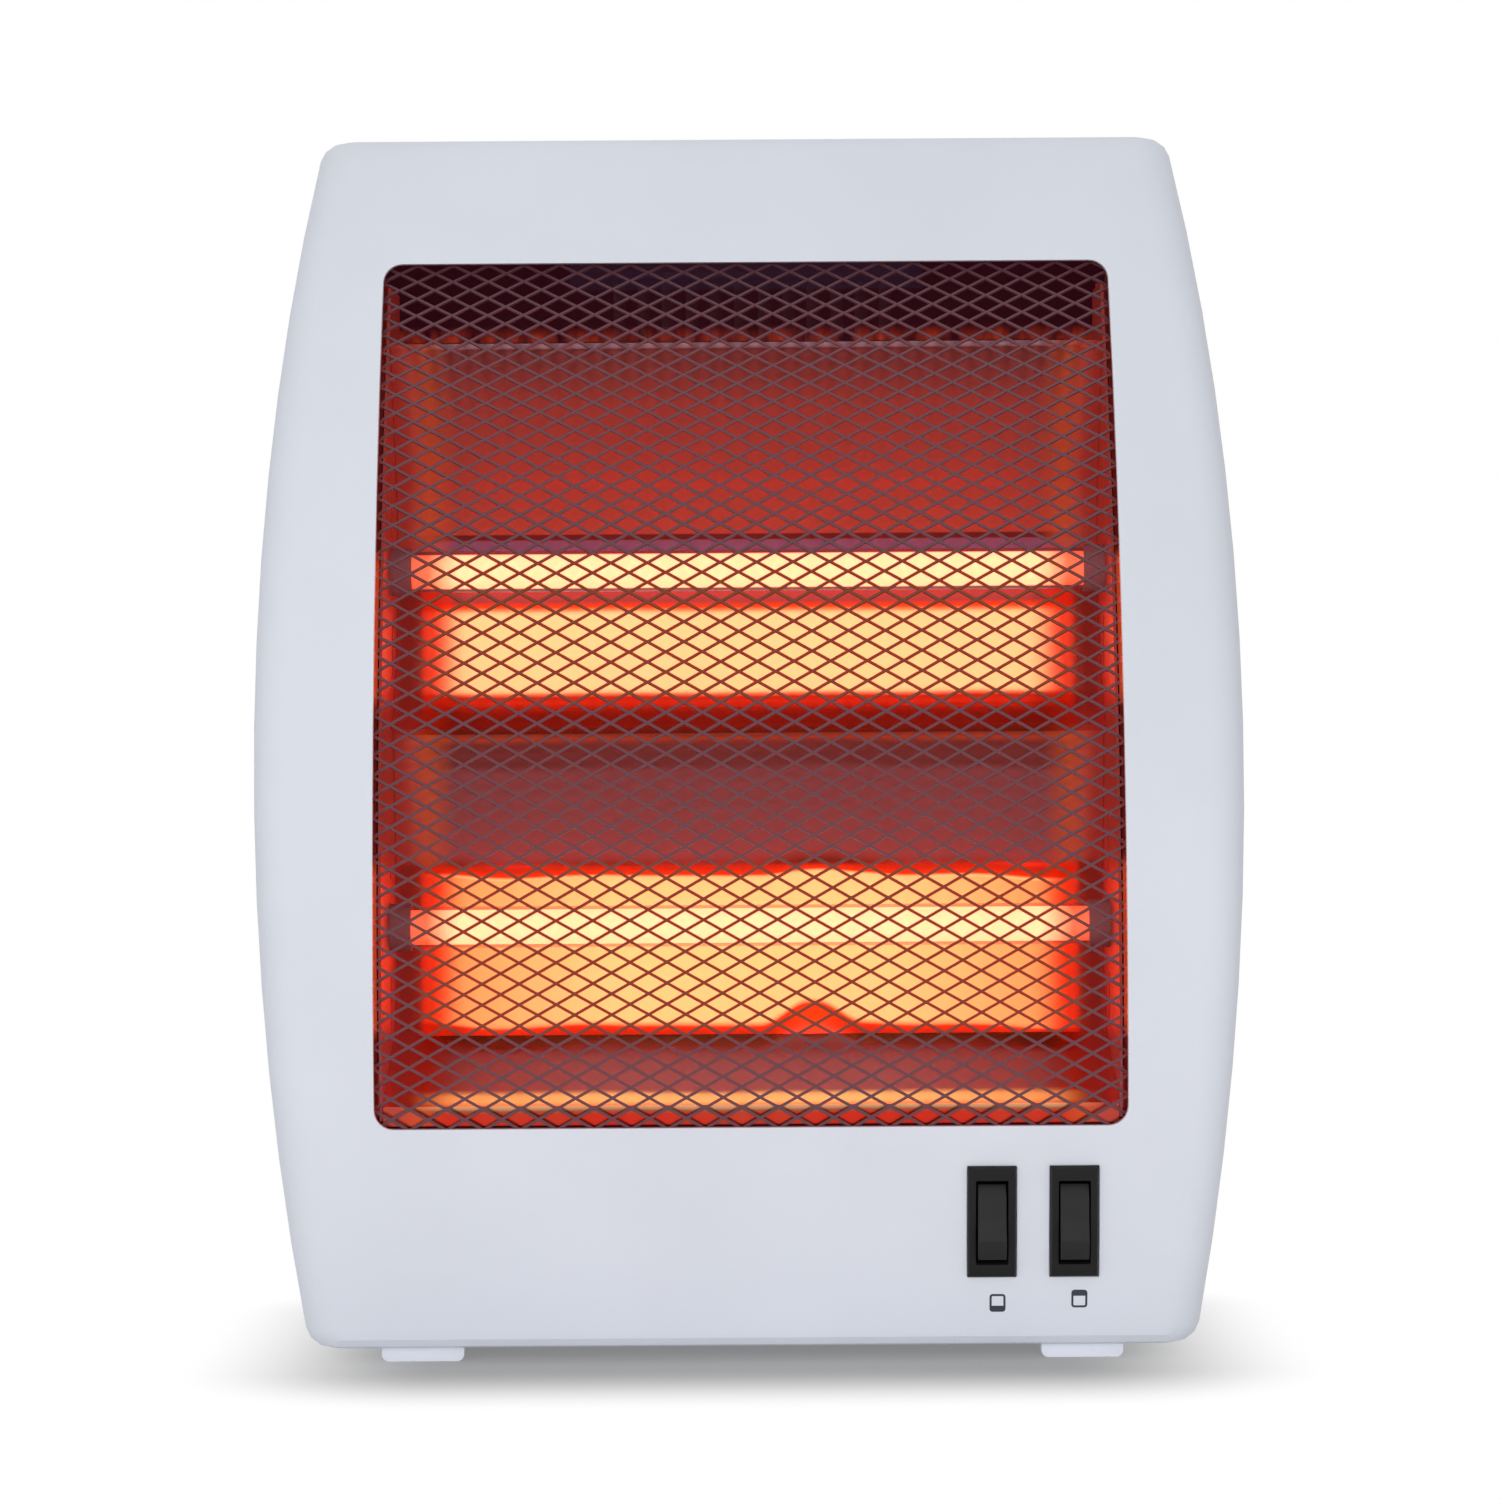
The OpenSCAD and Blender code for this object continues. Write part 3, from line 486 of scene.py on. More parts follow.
def moulded(name, colour, rough, grain=0.012, grain_scale=2600, mottle=0.02, gloss=0.42):
    paint = Shader(name)
    tone, shine, bump = mottled(paint, colour, rough, grain, grain_scale, mottle)
    return paint.done(paint.surface(tone, shine, Normal=bump, Specular_IOR_Level=gloss))


def lit_by_tubes(z):
    """1 at the heights where a tube or its reflection is in front of the guard's sides."""
    upper, lower = [z.rise(*start) - z.rise(*end) for start, end in TUBE_LIGHT]
    return upper + lower


def finish_shell():
    """Pale moulding, with the tubes' dim red light painted as a glow of its own on its inside beside
    the window.
    """
    paint = Shader("silver_grey_moulding")
    tone, shine, bump = mottled(paint, palette().shell, 0.42)
    x, y, z = paint.axes()
    up = z - PEAK_Z / MM
    deep = y - FRONT_CENTRE_Y / MM
    behind = FRONT_R / MM - (up * up + deep * deep) ** 0.5
    inside = behind.rise(*SKIN) * abs(x).fall(*WINDOW_X)
    inside = inside * z.rise(*WINDOW_LOW) * z.fall(*WINDOW_HIGH)
    # Painted light: dim red on the inside of the window's edge, brighter at the heights of the tubes
    # and their reflections.
    glow = paint.mix(lit_by_tubes(z), (0.085, 0.010, 0.006), (0.62, 0.085, 0.020))
    light = paint.mix(inside, (0, 0, 0), glow)
    return paint.done(paint.surface(tone, shine, light, Normal=bump, Specular_IOR_Level=0.22))


def finish_feet():
    # The housing's moulding made 8% lighter: painted light on the feet, which stand in the housing's
    # shade.
    return moulded("foot_moulding", [1.08 * c for c in palette().shell], 0.42)


def finish_rear():
    """The rear cover: the same moulding, with painted shade inside. Its inner faces, the walls of
    its vent slots and the wall under the grip pocket, where it does not face up, are painted dark
    with a faint red and mauve light of their own, and a broken painted red glint runs along its
    inside just above the reflector's lip.
    """
    shell = palette().shell
    paint = Shader("rear_moulding")
    cloud = paint.noise(16, 3)
    fine = paint.noise(2600, 2, 0.6)
    x, y, z = paint.axes()
    back = paint.facing(1)
    # Painted shade: masks of the inner faces, the vent slots' walls and the pocket's underside,
    # which get a dark colour and a faint light of their own.
    inside = back.fall(-0.6, -0.3) * y.rise(38, 40)
    slots = abs(back).fall(0.5, 0.7) * y.rise(54, 57)
    slots = slots * abs(x).under(VENT_HALF_W) * z.over(VENT_LOW) * z.under(VENT_HIGH)
    pocket = back.fall(0.3, 0.6) * z.over(POCKET_LOW) * z.under(POCKET_HIGH)
    pocket = pocket * paint.facing(2).fall(0, 0.4) * abs(x).under(POCKET_HALF_W)
    slots = slots.either(pocket)
    outer = paint.mix(cloud.rise(0.35, 0.65), [c * 0.93 for c in shell], [c * 0.97 for c in shell])
    tone = paint.mix(inside.either(slots), outer, (0.020, 0.003, 0.006))
    light = paint.mix(inside, (0, 0, 0), (0.017, 0.0012, 0.0035))
    light = paint.mix(slots, light, (0.016, 0.0050, 0.0120))
    # Painted glint: a broken band of the tubes' red light on the inside, just above the reflector's
    # lip.
    broken = paint.noise(150, 3, 0.6, (1, 1, 0.4)).rise(0.38, 0.66)
    streak = z.rise(297, 298.5) - z.rise(299.5, 303)
    light = paint.mix(inside * streak * broken, light, (0.28, 0.022, 0.006))
    return paint.done(paint.surface(tone, 0.44 + 0.06 * fine + 0.4 * inside, light,
                                    Normal=paint.bump(fine, 0.015 * MM)))


def finish_guard():
    """Heat-proof coat on the guard's strands, with painted light: red at the heights of the tubes
    and their reflections, and a warm tone with a glow of its own on the folded sides. It is darker
    and more mauve along its top.
    """
    colour = palette().guard
    paint = Shader("guard_coat")
    cloud = paint.noise(60, 4)
    fine = paint.noise(5200, 2)
    warm = (colour[0] * 1.25, colour[1] * 0.85, colour[2] * 0.80)
    tone = paint.mix(cloud.rise(0.3, 0.7), colour, warm)
    x, _, z = paint.axes()
    # Painted light: the heights of the tubes and their reflections, where the strands are painted
    # red.
    tube_light_heights = lit_by_tubes(z)
    side = abs(x).rise(*GUARD_SIDE)
    # Painted light: the folded sides glow with the tubes' red light, brightest at the tubes'
    # heights.
    glow = paint.mix(tube_light_heights, (0.030, 0.003, 0.002), (0.34, 0.040, 0.010))
    light = paint.mix(side, (0, 0, 0), glow)
    # Painted light: strands at the tubes' heights turn red, and the folded sides a warm red.
    tone = paint.mix(0.9 * (tube_light_heights * abs(x).fall(88, 98)), tone, (0.185, 0.034, 0.004))
    tone = paint.mix(0.8 * side, tone, (0.30, 0.050, 0.040))
    tone = paint.mix(0.8 * z.rise(290, 293), tone, (0.088, 0.030, 0.046))
    return paint.done(paint.surface(tone, 0.42 + 0.18 * fine, light, Metallic=0.15,
                                    Normal=paint.bump(fine, 0.01 * MM)))


REFLECTOR_PAINTED_TONES = (
    # height, tone of the sheet: painted reflection and glow, pale where the tubes are reflected and
    # red-brown and mauve away from them
    (70.6, (0.72, 0.030, 0.014)),
    (71.3, (0.26, 0.030, 0.020)),
    (72.1, (0.85, 0.42, 0.20)),
    (72.9, (0.62, 0.12, 0.06)),
    (73.5, (1.00, 0.90, 0.48)),
    (75.4, (1.00, 0.80, 0.40)),
    (76.6, (0.39, 0.115, 0.190)),
    (86.4, (0.40, 0.115, 0.190)),
    (87.4, (0.34, 0.036, 0.022)),
    (89.4, (0.13, 0.016, 0.010)),
    (92.2, (0.22, 0.034, 0.012)),
    (93.8, (0.80, 0.92, 0.62)),
    (135.4, (0.80, 0.92, 0.62)),
    (136.3, (0.25, 0.042, 0.012)),
    (138.6, (0.12, 0.018, 0.010)),
    (139.8, (0.28, 0.036, 0.026)),
    (142, (0.37, 0.072, 0.075)),
    (166.5, (0.32, 0.061, 0.066)),
    (168.5, (0.22, 0.034, 0.034)),
    (174.8, (0.24, 0.034, 0.032)),
    (176, (0.60, 0.055, 0.020)),
    (177.4, (0.33, 0.041, 0.024)),
    (187, (0.22, 0.030, 0.018)),
    (188.8, (0.09, 0.014, 0.008)),
    (190.2, (0.93, 1.00, 0.78)),
    (213, (0.93, 1.00, 0.78)),
    (214.6, (0.34, 0.110, 0.030)),
    (215.8, (0.24, 0.050, 0.020)),
    (216.4, (0.085, 0.072, 0.130)),
    (236.8, (0.46, 0.060, 0.042)),
    (274, (0.49, 0.060, 0.048)),
    (292, (0.24, 0.050, 0.050)),
)
REFLECTOR_PAINTED_LINES = (
    # from, to, colour: painted highlights along folds and edges, and a painted dark line beside one
    (231.3, 234.6, (0.25, 0.095, 0.175)),
    (235.2, 236.5, (0.15, 0.020, 0.020)),
    (289.9, 291.4, (0.44, 0.230, 0.270)),
)
HUMP_X = 18                 # middle of the buckle in the sheet, about which the painted reflections bend
HUMP_EDGE = (1, 15)         # from its middle, where it is full and where it ends
HUMP_H = 0.9                # how far it moves the upper painted reflections, and how much more the lower
HUMP_LOW_H = 4.8
RIPPLE = 9                  # how far the painted waves of the sheet move its painted reflections


def finish_reflector():
    """Polished sheet with rolling lines along it; its colour paints the tubes' reflections pale and
    their red glow red-brown and mauve, with a painted glint and glow of its own.
    """
    paint = Shader("polished_reflector")
    x, _, z = paint.axes()
    low = REFLECTOR_PAINTED_TONES[0][0]
    high = REFLECTOR_PAINTED_TONES[-1][0]
    stops = [((place - low) / (high - low), tint) for place, tint in REFLECTOR_PAINTED_TONES]
    streak = paint.noise(900, 3, 0.55, (0.02, 1, 1))
    cloud = paint.noise(26, 3)
    between = z.rise(79, 86) * z.fall(150, 180)
    ripple = paint.noise(17, 1, 0.5, (1, 0, 0)) - 0.5
    hump = abs(x - HUMP_X).fall(*HUMP_EDGE).eased()
    drop = hump * (HUMP_H + HUMP_LOW_H * z.fall(103, 112))
    level = z - between * (drop - RIPPLE * ripple)
    height = level.rise(low, high) + 0.006 * (cloud - 0.5)
    tint = paint.add("ShaderNodeValToRGB", {"stops": stops}, {"Fac": height})
    tint = paint.mix(0.10 * cloud, tint, (0.46, 0.16, 0.10))
    # Painted reflection: the lower tube's reflection turns orange towards the sides.
    tint = paint.mix(level.band(93, 135) * abs(x).rise(40, 92), tint, (0.80, 0.48, 0.26))
    # Painted reflection: a brownish orange line under the buckle, where the reflection bends.
    beneath = hump * z.rise(89, 90) * level.fall(91, 92)
    tint = paint.mix(0.7 * beneath, tint, (0.36, 0.090, 0.020))
    for start, end, colour in REFLECTOR_PAINTED_LINES:
        tint = paint.mix(z.band(start, end), tint, colour)
    # Painted red glow towards the ends of the tubes, and a darker red at the sheet's sides.
    tint = paint.mix(0.75 * abs(x).rise(86, 93), tint, (0.72, 0.105, 0.034))
    tint = paint.mix(0.9 * abs(x).rise(94, 99), tint, (0.42, 0.062, 0.044))
    # Painted glint: the lower tube's reflection along the lip as light of its own, and a painted red
    # glow at the sheet's ends.
    lip = z.band(73.6, 75.4, 0.8) * abs(x).fall(88, 97)
    light = paint.mix(lip, (0, 0, 0), (0.08, 0.12, 0.03))
    light = paint.mix(abs(x).rise(93, 98), light, (0.125, 0.010, 0.008))
    bump = paint.bump(streak + 2.0 * paint.noise(70, 2), 0.010 * MM)
    mirror = paint.surface(tint, 0.10 + 0.10 * streak, light, Metallic=1.0, Normal=bump)
    haze = paint.surface(tint, 0.55, Metallic=1.0, Normal=bump)
    return paint.done(paint.blend(0.30, mirror, haze))


def finish_end_sheet():
    """Bright end plate, red-brown and mauve lower down, with a painted glow of the tubes' red light.
    """
    paint = Shader("end_plate_sheet")
    streak = paint.noise(700, 3, 0.55, (1, 1, 0.03))
    cloud = paint.noise(34, 3)
    tint = paint.mix(cloud.rise(0.3, 0.7), (0.36, 0.070, 0.050), (0.27, 0.048, 0.038))
    tint = paint.mix(0.7 * paint.axes()[2].fall(84, 100), tint, (0.34, 0.12, 0.16))
    # Painted light: a faint red glow of its own, for the tubes' light on the plate.
    return paint.done(paint.surface(tint, 0.42 + 0.14 * streak, (0.10, 0.008, 0.006),
                                    Metallic=1.0, Normal=paint.bump(streak, 0.012 * MM)))


def finish_quartz():
    """Clear outer wall of a quartz tube."""
    paint = Shader("quartz_wall")
    fine = paint.noise(300, 2, 0.5, (0.1, 1, 1))
    tone = paint.mix(fine, (0.20, 0.075, 0.115), (0.25, 0.095, 0.135))
    # Painted light: the wall is a lighter mauve where it faces down.
    tone = paint.mix((0 - paint.facing(2)).rise(0.2, 0.7), tone, (0.34, 0.115, 0.165))
    rim = paint.add("ShaderNodeLayerWeight", None, {"Blend": 0.5}, "Facing")
    haze = 0.25 + 0.60 * paint.axes()[2].over(170)
    return paint.done(paint.surface(tone, 0.06 + 0.04 * fine,
                                    Alpha=0.05 + haze * rim.rise(0.38, 0.50)))


def glow_along(paint, core, edge, fade_end):
    """Light that is pale in the middle of a tube and deep red at its ends."""
    return paint.mix(abs(paint.axes()[0]).rise(TUBE_END, fade_end), core, edge)


def finish_glow():
    """The inner wall of a tube, lit by its wire."""
    paint = Shader("glowing_wall")
    core = palette().glow
    light = glow_along(paint, core, (core[0] * 0.20, core[1] * 0.10, core[2] * 0.06), 93)
    tone = paint.mix(paint.noise(900, 2), (0.60, 0.22, 0.12), (0.72, 0.30, 0.16))
    return paint.done(paint.surface(tone, 0.5, light, palette().glow_strength, Alpha=0.86))


def finish_wire():
    """Glowing resistance wire, cooler on its leads."""
    paint = Shader("glowing_wire")
    light = glow_along(paint, (1.0, 0.20, 0.092), (0.10, 0.008, 0.003), 95)
    fine = paint.noise(4000, 2)
    tone = paint.mix(fine, (0.30, 0.12, 0.08), (0.42, 0.18, 0.11))
    return paint.done(paint.surface(tone, 0.45 + 0.2 * fine, light,
                                    palette().glow_strength * 1.2))


def finish_ceramic():
    """Unglazed ceramic in a red-brown tone."""
    paint = Shader("stained_ceramic")
    fine = paint.noise(3000, 3)
    tone = paint.mix(paint.noise(120, 4), (0.27, 0.075, 0.085), (0.38, 0.12, 0.125))
    return paint.done(paint.surface(tone, 0.66 + 0.14 * fine,
                                    Normal=paint.bump(fine, 0.03 * MM)))


def metal(name, light, dark, rough):
    """Plated or plain metal with faint clouds and fine scratches."""
    paint = Shader(name)
    scratch = paint.noise(2600, 2, 0.6, (1, 0.15, 1))
    tone = paint.mix(paint.noise(220, 4), dark, light)
    return paint.done(paint.surface(tone, rough + 0.16 * scratch, Metallic=1.0,
                                    Normal=paint.bump(scratch, 0.006 * MM)))


def finish_zinc():
    return metal("zinc_plate", (0.70, 0.70, 0.69), (0.52, 0.53, 0.54), 0.24)


def finish_brass():
    return metal("plain_brass", (0.78, 0.60, 0.30), (0.62, 0.44, 0.20), 0.26)


def finish_bezel():
    return moulded("black_bezel", [c * 0.60 for c in palette().black], 0.46,
                   0.02, 1700, 0.06, 0.16)


def finish_rocker():
    return moulded("black_rocker", palette().black, 0.36, 0.03, 1500, 0.06, 0.20)


def finish_gland():
    return moulded("black_gland", (0.022, 0.022, 0.023), 0.46, 0.03, 1500, 0.08)


def finish_white():
    return moulded("off_white_moulding", (0.74, 0.73, 0.69), 0.40)


def finish_red():
    return moulded("red_moulding", (0.50, 0.055, 0.040), 0.36)


def finish_ink():
    return moulded("printed_ink", palette().ink, 0.50, 0.004, 3000, 0.05)


# ---- Housing ----

class HEATER_OT_shells(bpy.types.Operator):
    """Front and rear covers and the two feet"""
    bl_idname = "heater.shells"
    bl_label = "Housing"

    def execute(self, context):
        for side, look in (("front", finish_shell), ("rear", finish_rear)):
            cover = merged_copy(side + "_cover", flat=0.05)
            named(cover, side + "_shell", look, side + "_shell", side + "_cover", smooth=24)
        for side in ("left", "right"):
            rounded("foot_" + side, side + "_foot", finish_feet, "feet", 0.5 * MM)
        return {"FINISHED"}


# ---- Guard ----

GUARD_T = 0.6 * MM          # sheet of the guard
GUARD_R = 427 * MM          # outer radius of its curve
GUARD_PEAK_Y = -59.5 * MM
GUARD_LOW_Z = 66 * MM
GUARD_HIGH_Z = 316 * MM
GUARD_HALF_W = 106.5 * MM   # to the middle of the folded side
GUARD_RETURN = 14 * MM      # how far the sides go back
FOLD_R = 2.6 * MM           # bend at its sides, at the sheet's middle
FOLD_STEPS = 5
FOLD_START = GUARD_HALF_W - FOLD_R
FOLD_STEP = FOLD_R * QUARTER / FOLD_STEPS
STRAND_LEAN = 0.22 * MM
RIM_H = 1.2 * MM            # plain metal along its top and bottom
STILE_W = 2 * MM            # plain metal along the back edge of a side
STILE_CUTS = 24
TAB_Z = (92 * MM, 191 * MM, 288 * MM)
TAB_T = 0.8 * MM
TAB_HOLE_R = 1.75 * MM
TAB_OVER_HOLE = 2.9         # radius of a tab over that of its hole
NECK_X = 109.4 * MM         # middle of the piece between a tab and the side
NECK = (5.6 * MM, TAB_T, 10 * MM)


def guard_cell(sizes):
    """One diamond of four strands, each leaning a little as the slit sheet twists them."""
    half_w = sizes.mesh_pitch_x / 2
    half_h = sizes.mesh_pitch_z / 2
    inner = half_h * 0.9
    cell = primitive("circle", vertices=4, radius=half_w, fill_type="NGON", rotation=UPRIGHT)
    with Editing(cell, "FACE") as edit:
        edit.everything()
        bpy.ops.transform.resize(value=(1, 1, half_h / half_w))
        bpy.ops.mesh.inset(thickness=sizes.strand / 2, use_even_offset=True)
        bpy.ops.mesh.delete(type="FACE")
    with Editing(cell) as edit:
        for way in SIDES:
            edit.select(lambda p, v: 0 < p.z * way < inner)
            bpy.ops.transform.translate(value=(0, -way * STRAND_LEAN, 0))
    return cell


def cut_folds(edit):
    """Cuts a flat sheet along the lines where its sides will fold."""
    for way in SIDES:
        for i in range(FOLD_STEPS):
            edit.cut((way * (FOLD_START + i * FOLD_STEP), 0, 0), (1, 0, 0))


def fold_side(sheet, way):
    """Turns one side of the sheet back in small steps about upright lines."""
    turn = Matrix.Rotation(way * QUARTER / FOLD_STEPS, 4, "Z")
    line = Vector((way * FOLD_START, 0, 0))
    ahead = Vector((way, 0, 0))
    with Editing(sheet) as edit:
        for _ in range(FOLD_STEPS):
            edit.select(lambda p, v: (p - line).dot(ahead) > NEAR
                        and p.x * way > FOLD_START * 0.9)
            mesh = bmesh.from_edit_mesh(sheet.data)
            bmesh.ops.rotate(mesh, cent=line, matrix=turn,
                             verts=[v for v in mesh.verts if v.select])
            bmesh.update_edit_mesh(sheet.data)
            ahead = turn @ ahead
            line = line + ahead * FOLD_STEP


class HEATER_OT_guard(bpy.types.Operator):
    """The expanded-metal guard, folded back at its sides and bent to the front's curve"""
    bl_idname = "heater.guard"
    bl_label = "Guard"

    def execute(self, context):
        sizes = context.scene.heater_sizes
        across = (sizes.mesh_pitch_x, 0, 0)
        up = (0, 0, sizes.mesh_pitch_z)
        low, high = [GUARD_R * math.asin((z - PEAK_Z) / GUARD_R)
                     for z in (GUARD_LOW_Z, GUARD_HIGH_Z)]
        half_w = FOLD_START + (FOLD_R * QUARTER + GUARD_RETURN - FOLD_R)
        cols = math.ceil(2 * half_w / sizes.mesh_pitch_x) + 1
        rows = math.ceil((high - low) / sizes.mesh_pitch_z) + 1
        sheet = guard_cell(sizes)
        join(sheet, copied(sheet, (Vector(across) + Vector(up)) / 2))
        for count, step in ((cols, across), (rows, up)):
            modify(sheet, "ARRAY", count=count, use_relative_offset=False,
                   use_constant_offset=True, constant_offset_displace=step)
        with Editing(sheet) as edit:
            edit.everything()
            bpy.ops.mesh.remove_doubles(threshold=0.02 * MM)
            bpy.ops.transform.translate(value=(
                -(cols - 0.5) * sizes.mesh_pitch_x / 2, 0, low - sizes.mesh_pitch_z * 0.4))
            for way in SIDES:
                edit.cut((way * half_w, 0, 0), (way, 0, 0), clear_outer=True)
            for level, way in ((low, -1), (high, 1)):
                edit.cut((0, 0, level), (0, 0, way), clear_outer=True)
            cut_folds(edit)
        join(sheet, self.rim(half_w, low), self.rim(half_w, high - RIM_H),
             self.stile(-half_w, low, high), self.stile(half_w - STILE_W, low, high))
        for way in SIDES:
            fold_side(sheet, way)
        modify(sheet, "SOLIDIFY", thickness=GUARD_T, offset=0, use_even_offset=False)
        modify(sheet, "SIMPLE_DEFORM", deform_method="BEND", deform_axis="X",
               angle=(high - low) / GUARD_R)
        sheet.data.transform(Matrix.Translation((0, GUARD_PEAK_Y + GUARD_T / 2, PEAK_Z)))
        join(sheet, *[self.tab(z, way) for z in TAB_Z for way in SIDES])
        named(sheet, "expanded_guard", finish_guard, "guard", "guard_mesh", smooth=40)
        return {"FINISHED"}

    def strip(self, low_x, low_z, width, height):
        return primitive("grid", (width, height, 1), x_subdivisions=1, y_subdivisions=1, size=1,
                         rotation=UPRIGHT, location=(low_x + width / 2, 0, low_z + height / 2))

    def rim(self, half_w, low_z):
        """A plain strip along the top or bottom, cut where the sides will fold."""
        strip = self.strip(-half_w, low_z, 2 * half_w, RIM_H)
        with Editing(strip) as edit:
            cut_folds(edit)
        return strip

    def stile(self, low_x, low_z, high_z):
        """A plain strip along the back edge of a folded side, cut so that it bends."""
        height = high_z - low_z
        strip = self.strip(low_x, low_z, STILE_W, height)
        with Editing(strip) as edit:
            for i in range(1, STILE_CUTS):
                edit.cut((0, 0, low_z + height * i / STILE_CUTS), (0, 0, 1))
        return strip

    def tab(self, z, way):
        """A screw tab on a folded side, with its hole."""
        screws = [s for s in island_boxes("guard_screws")
                  if abs((s[0].z + s[1].z) / 2 - z) < 2 * MM and (s[0].x + s[1].x) * way > 0]
        low, high = screws[0]
        middle = (low + high) / 2
        seat = high.y - HEAD_H - TAB_T / 2
        centre = (middle.x, seat, middle.z)
        tab = primitive("circle", vertices=24, radius=TAB_HOLE_R, rotation=UPRIGHT,
                        location=centre)
        with Editing(tab, "EDGE") as edit:
            edit.everything()
            bpy.ops.mesh.extrude_region_move()
            bpy.ops.transform.resize(value=(TAB_OVER_HOLE, 1, TAB_OVER_HOLE),
                                     center_override=centre)
        modify(tab, "SOLIDIFY", thickness=TAB_T, offset=0)
        neck = primitive("cube", NECK, size=1, location=(way * NECK_X, seat, middle.z))
        modify(neck, "BEVEL", width=0.3 * MM, segments=2)
        return join(tab, neck)


# ---- Reflector: one sheet drawn from its two tubes along a line that leans back ----

def middle_of(node):
    low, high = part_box(node)
    return (low + high) / 2


LEAN = math.radians(2.9)
UPPER_TUBE = middle_of("quartz_tube_upper")
LOWER_TUBE = middle_of("quartz_tube_lower")
TROUGH_DEPTH = 20.7         # behind a tube, in millimetres as the rest of the section
TOP_EDGE = (66, -5.6)       # along the line and deep behind it, from the upper tube
UPPER_TROUGH = (60.9, 27, -46, 3.7, 36)  # radius, upper end, lower end, middle, steps
RIDGE_HALF_W = 4.5          # the flat ridge midway between the tubes
RIDGE_DEPTH = 7.2
LOWER_TROUGH = (49.7, 18.7, -31.4, 0, 28)
LIP = (-50.7, -31.1)        # along the line and deep behind it, from the lower tube
LIP_TURN = 5.5 * MM
SHEET_T = 0.8 * MM
SHEET_HALF_W = 103.4 * MM
SHEET_CUTS = 72
SEED_W = 1 * MM             # width of the grid whose back row is drawn out to the sheet
DENTS = (
    # slight presses in the thin sheet: place across, height, depth and reach
    (17 * MM, 134 * MM, 0.10 * MM, 16 * MM),
    (17 * MM, 92 * MM, -0.08 * MM, 14 * MM),
    (-60 * MM, 130 * MM, 0.06 * MM, 20 * MM),
)


def leaning(base, up, deep):
    """A point up along the leaning line from a tube and deep behind it, in millimetres."""
    return base + Vector((0, up * math.sin(LEAN) + deep * math.cos(LEAN),
                          up * math.cos(LEAN) - deep * math.sin(LEAN))) * MM


def trough_points(base, radius, high, low, shift, steps):
    points = []
    for i in range(steps + 1):
        up = high + (low - high) * i / steps
        deep = TROUGH_DEPTH - radius + math.sqrt(radius ** 2 - (up - shift) ** 2)
        points.append(leaning(base, up, deep))
    return points


class HEATER_OT_reflector(bpy.types.Operator):
    """The polished reflector and the two end plates"""
    bl_idname = "heater.reflector"
    bl_label = "Reflector"

    def execute(self, context):
        middle = (UPPER_TUBE + LOWER_TUBE) / 2
        line = [leaning(UPPER_TUBE, *TOP_EDGE)]
        line += trough_points(UPPER_TUBE, *UPPER_TROUGH)
        line += [leaning(middle, way * RIDGE_HALF_W, RIDGE_DEPTH) for way in (1, -1)]
        line += trough_points(LOWER_TUBE, *LOWER_TROUGH)
        line += [leaning(LOWER_TUBE, *LIP)]
        line += [line[-1] - Vector((0, 0, LIP_TURN))]
        sheet = primitive("grid", (2 * SHEET_HALF_W, SEED_W, 1), x_subdivisions=SHEET_CUTS,
                          y_subdivisions=1, size=1)
        with Editing(sheet) as edit:
            edit.select(lambda p, v: p.y < 0)
            bpy.ops.mesh.delete(type="VERT")
            edit.everything()
            bpy.ops.transform.translate(value=line[0] - Vector((0, SEED_W / 2, 0)))
            for here, there in zip(line, line[1:]):
                bpy.ops.mesh.extrude_region_move(
                    TRANSFORM_OT_translate={"value": tuple(there - here)})
        with Editing(sheet) as edit:
            for dent in DENTS:
                self.press(edit, *dent)
            edit.everything()
            bpy.ops.mesh.normals_make_consistent(inside=False)
        away = -1 if sheet.data.polygons[0].normal.y < 0 else 1
        modify(sheet, "SOLIDIFY", thickness=SHEET_T, offset=away)
        named(sheet, "polished_reflector", finish_reflector, "reflector_sheet", "reflector",
              smooth=25)
        for side in ("left", "right"):
            named(merged_copy("end_plate_" + side, flat=0.2), side + "_end_plate",
                  finish_end_sheet, "end_sheet", "end_plate_" + side, smooth=25)
        return {"FINISHED"}

    def press(self, edit, x, z, depth, reach):
        points = bmesh.from_edit_mesh(edit.piece.data).verts
        nearest = min(points, key=lambda v: (v.co.x - x) ** 2 + (v.co.z - z) ** 2)
        place = nearest.co.copy()
        edit.select(lambda p, v: (p - place).length < NEAR)
        bpy.ops.transform.translate(value=(0, depth, 0), use_proportional_edit=True,
                                    proportional_edit_falloff="SMOOTH", proportional_size=reach)


# ---- Tubes ----

TUBE_R = 6 * MM
TUBE_WALL = 1 * MM
TUBE_HALF_L = 112 * MM
TUBE_ROUND = 0.3 * MM       # of its fire-polished ends
COIL_R = 2.75 * MM
COIL_HALF_L = 105 * MM
WIRE_R = 0.5 * MM
STUD_X = 107 * MM           # where the wire's leads end


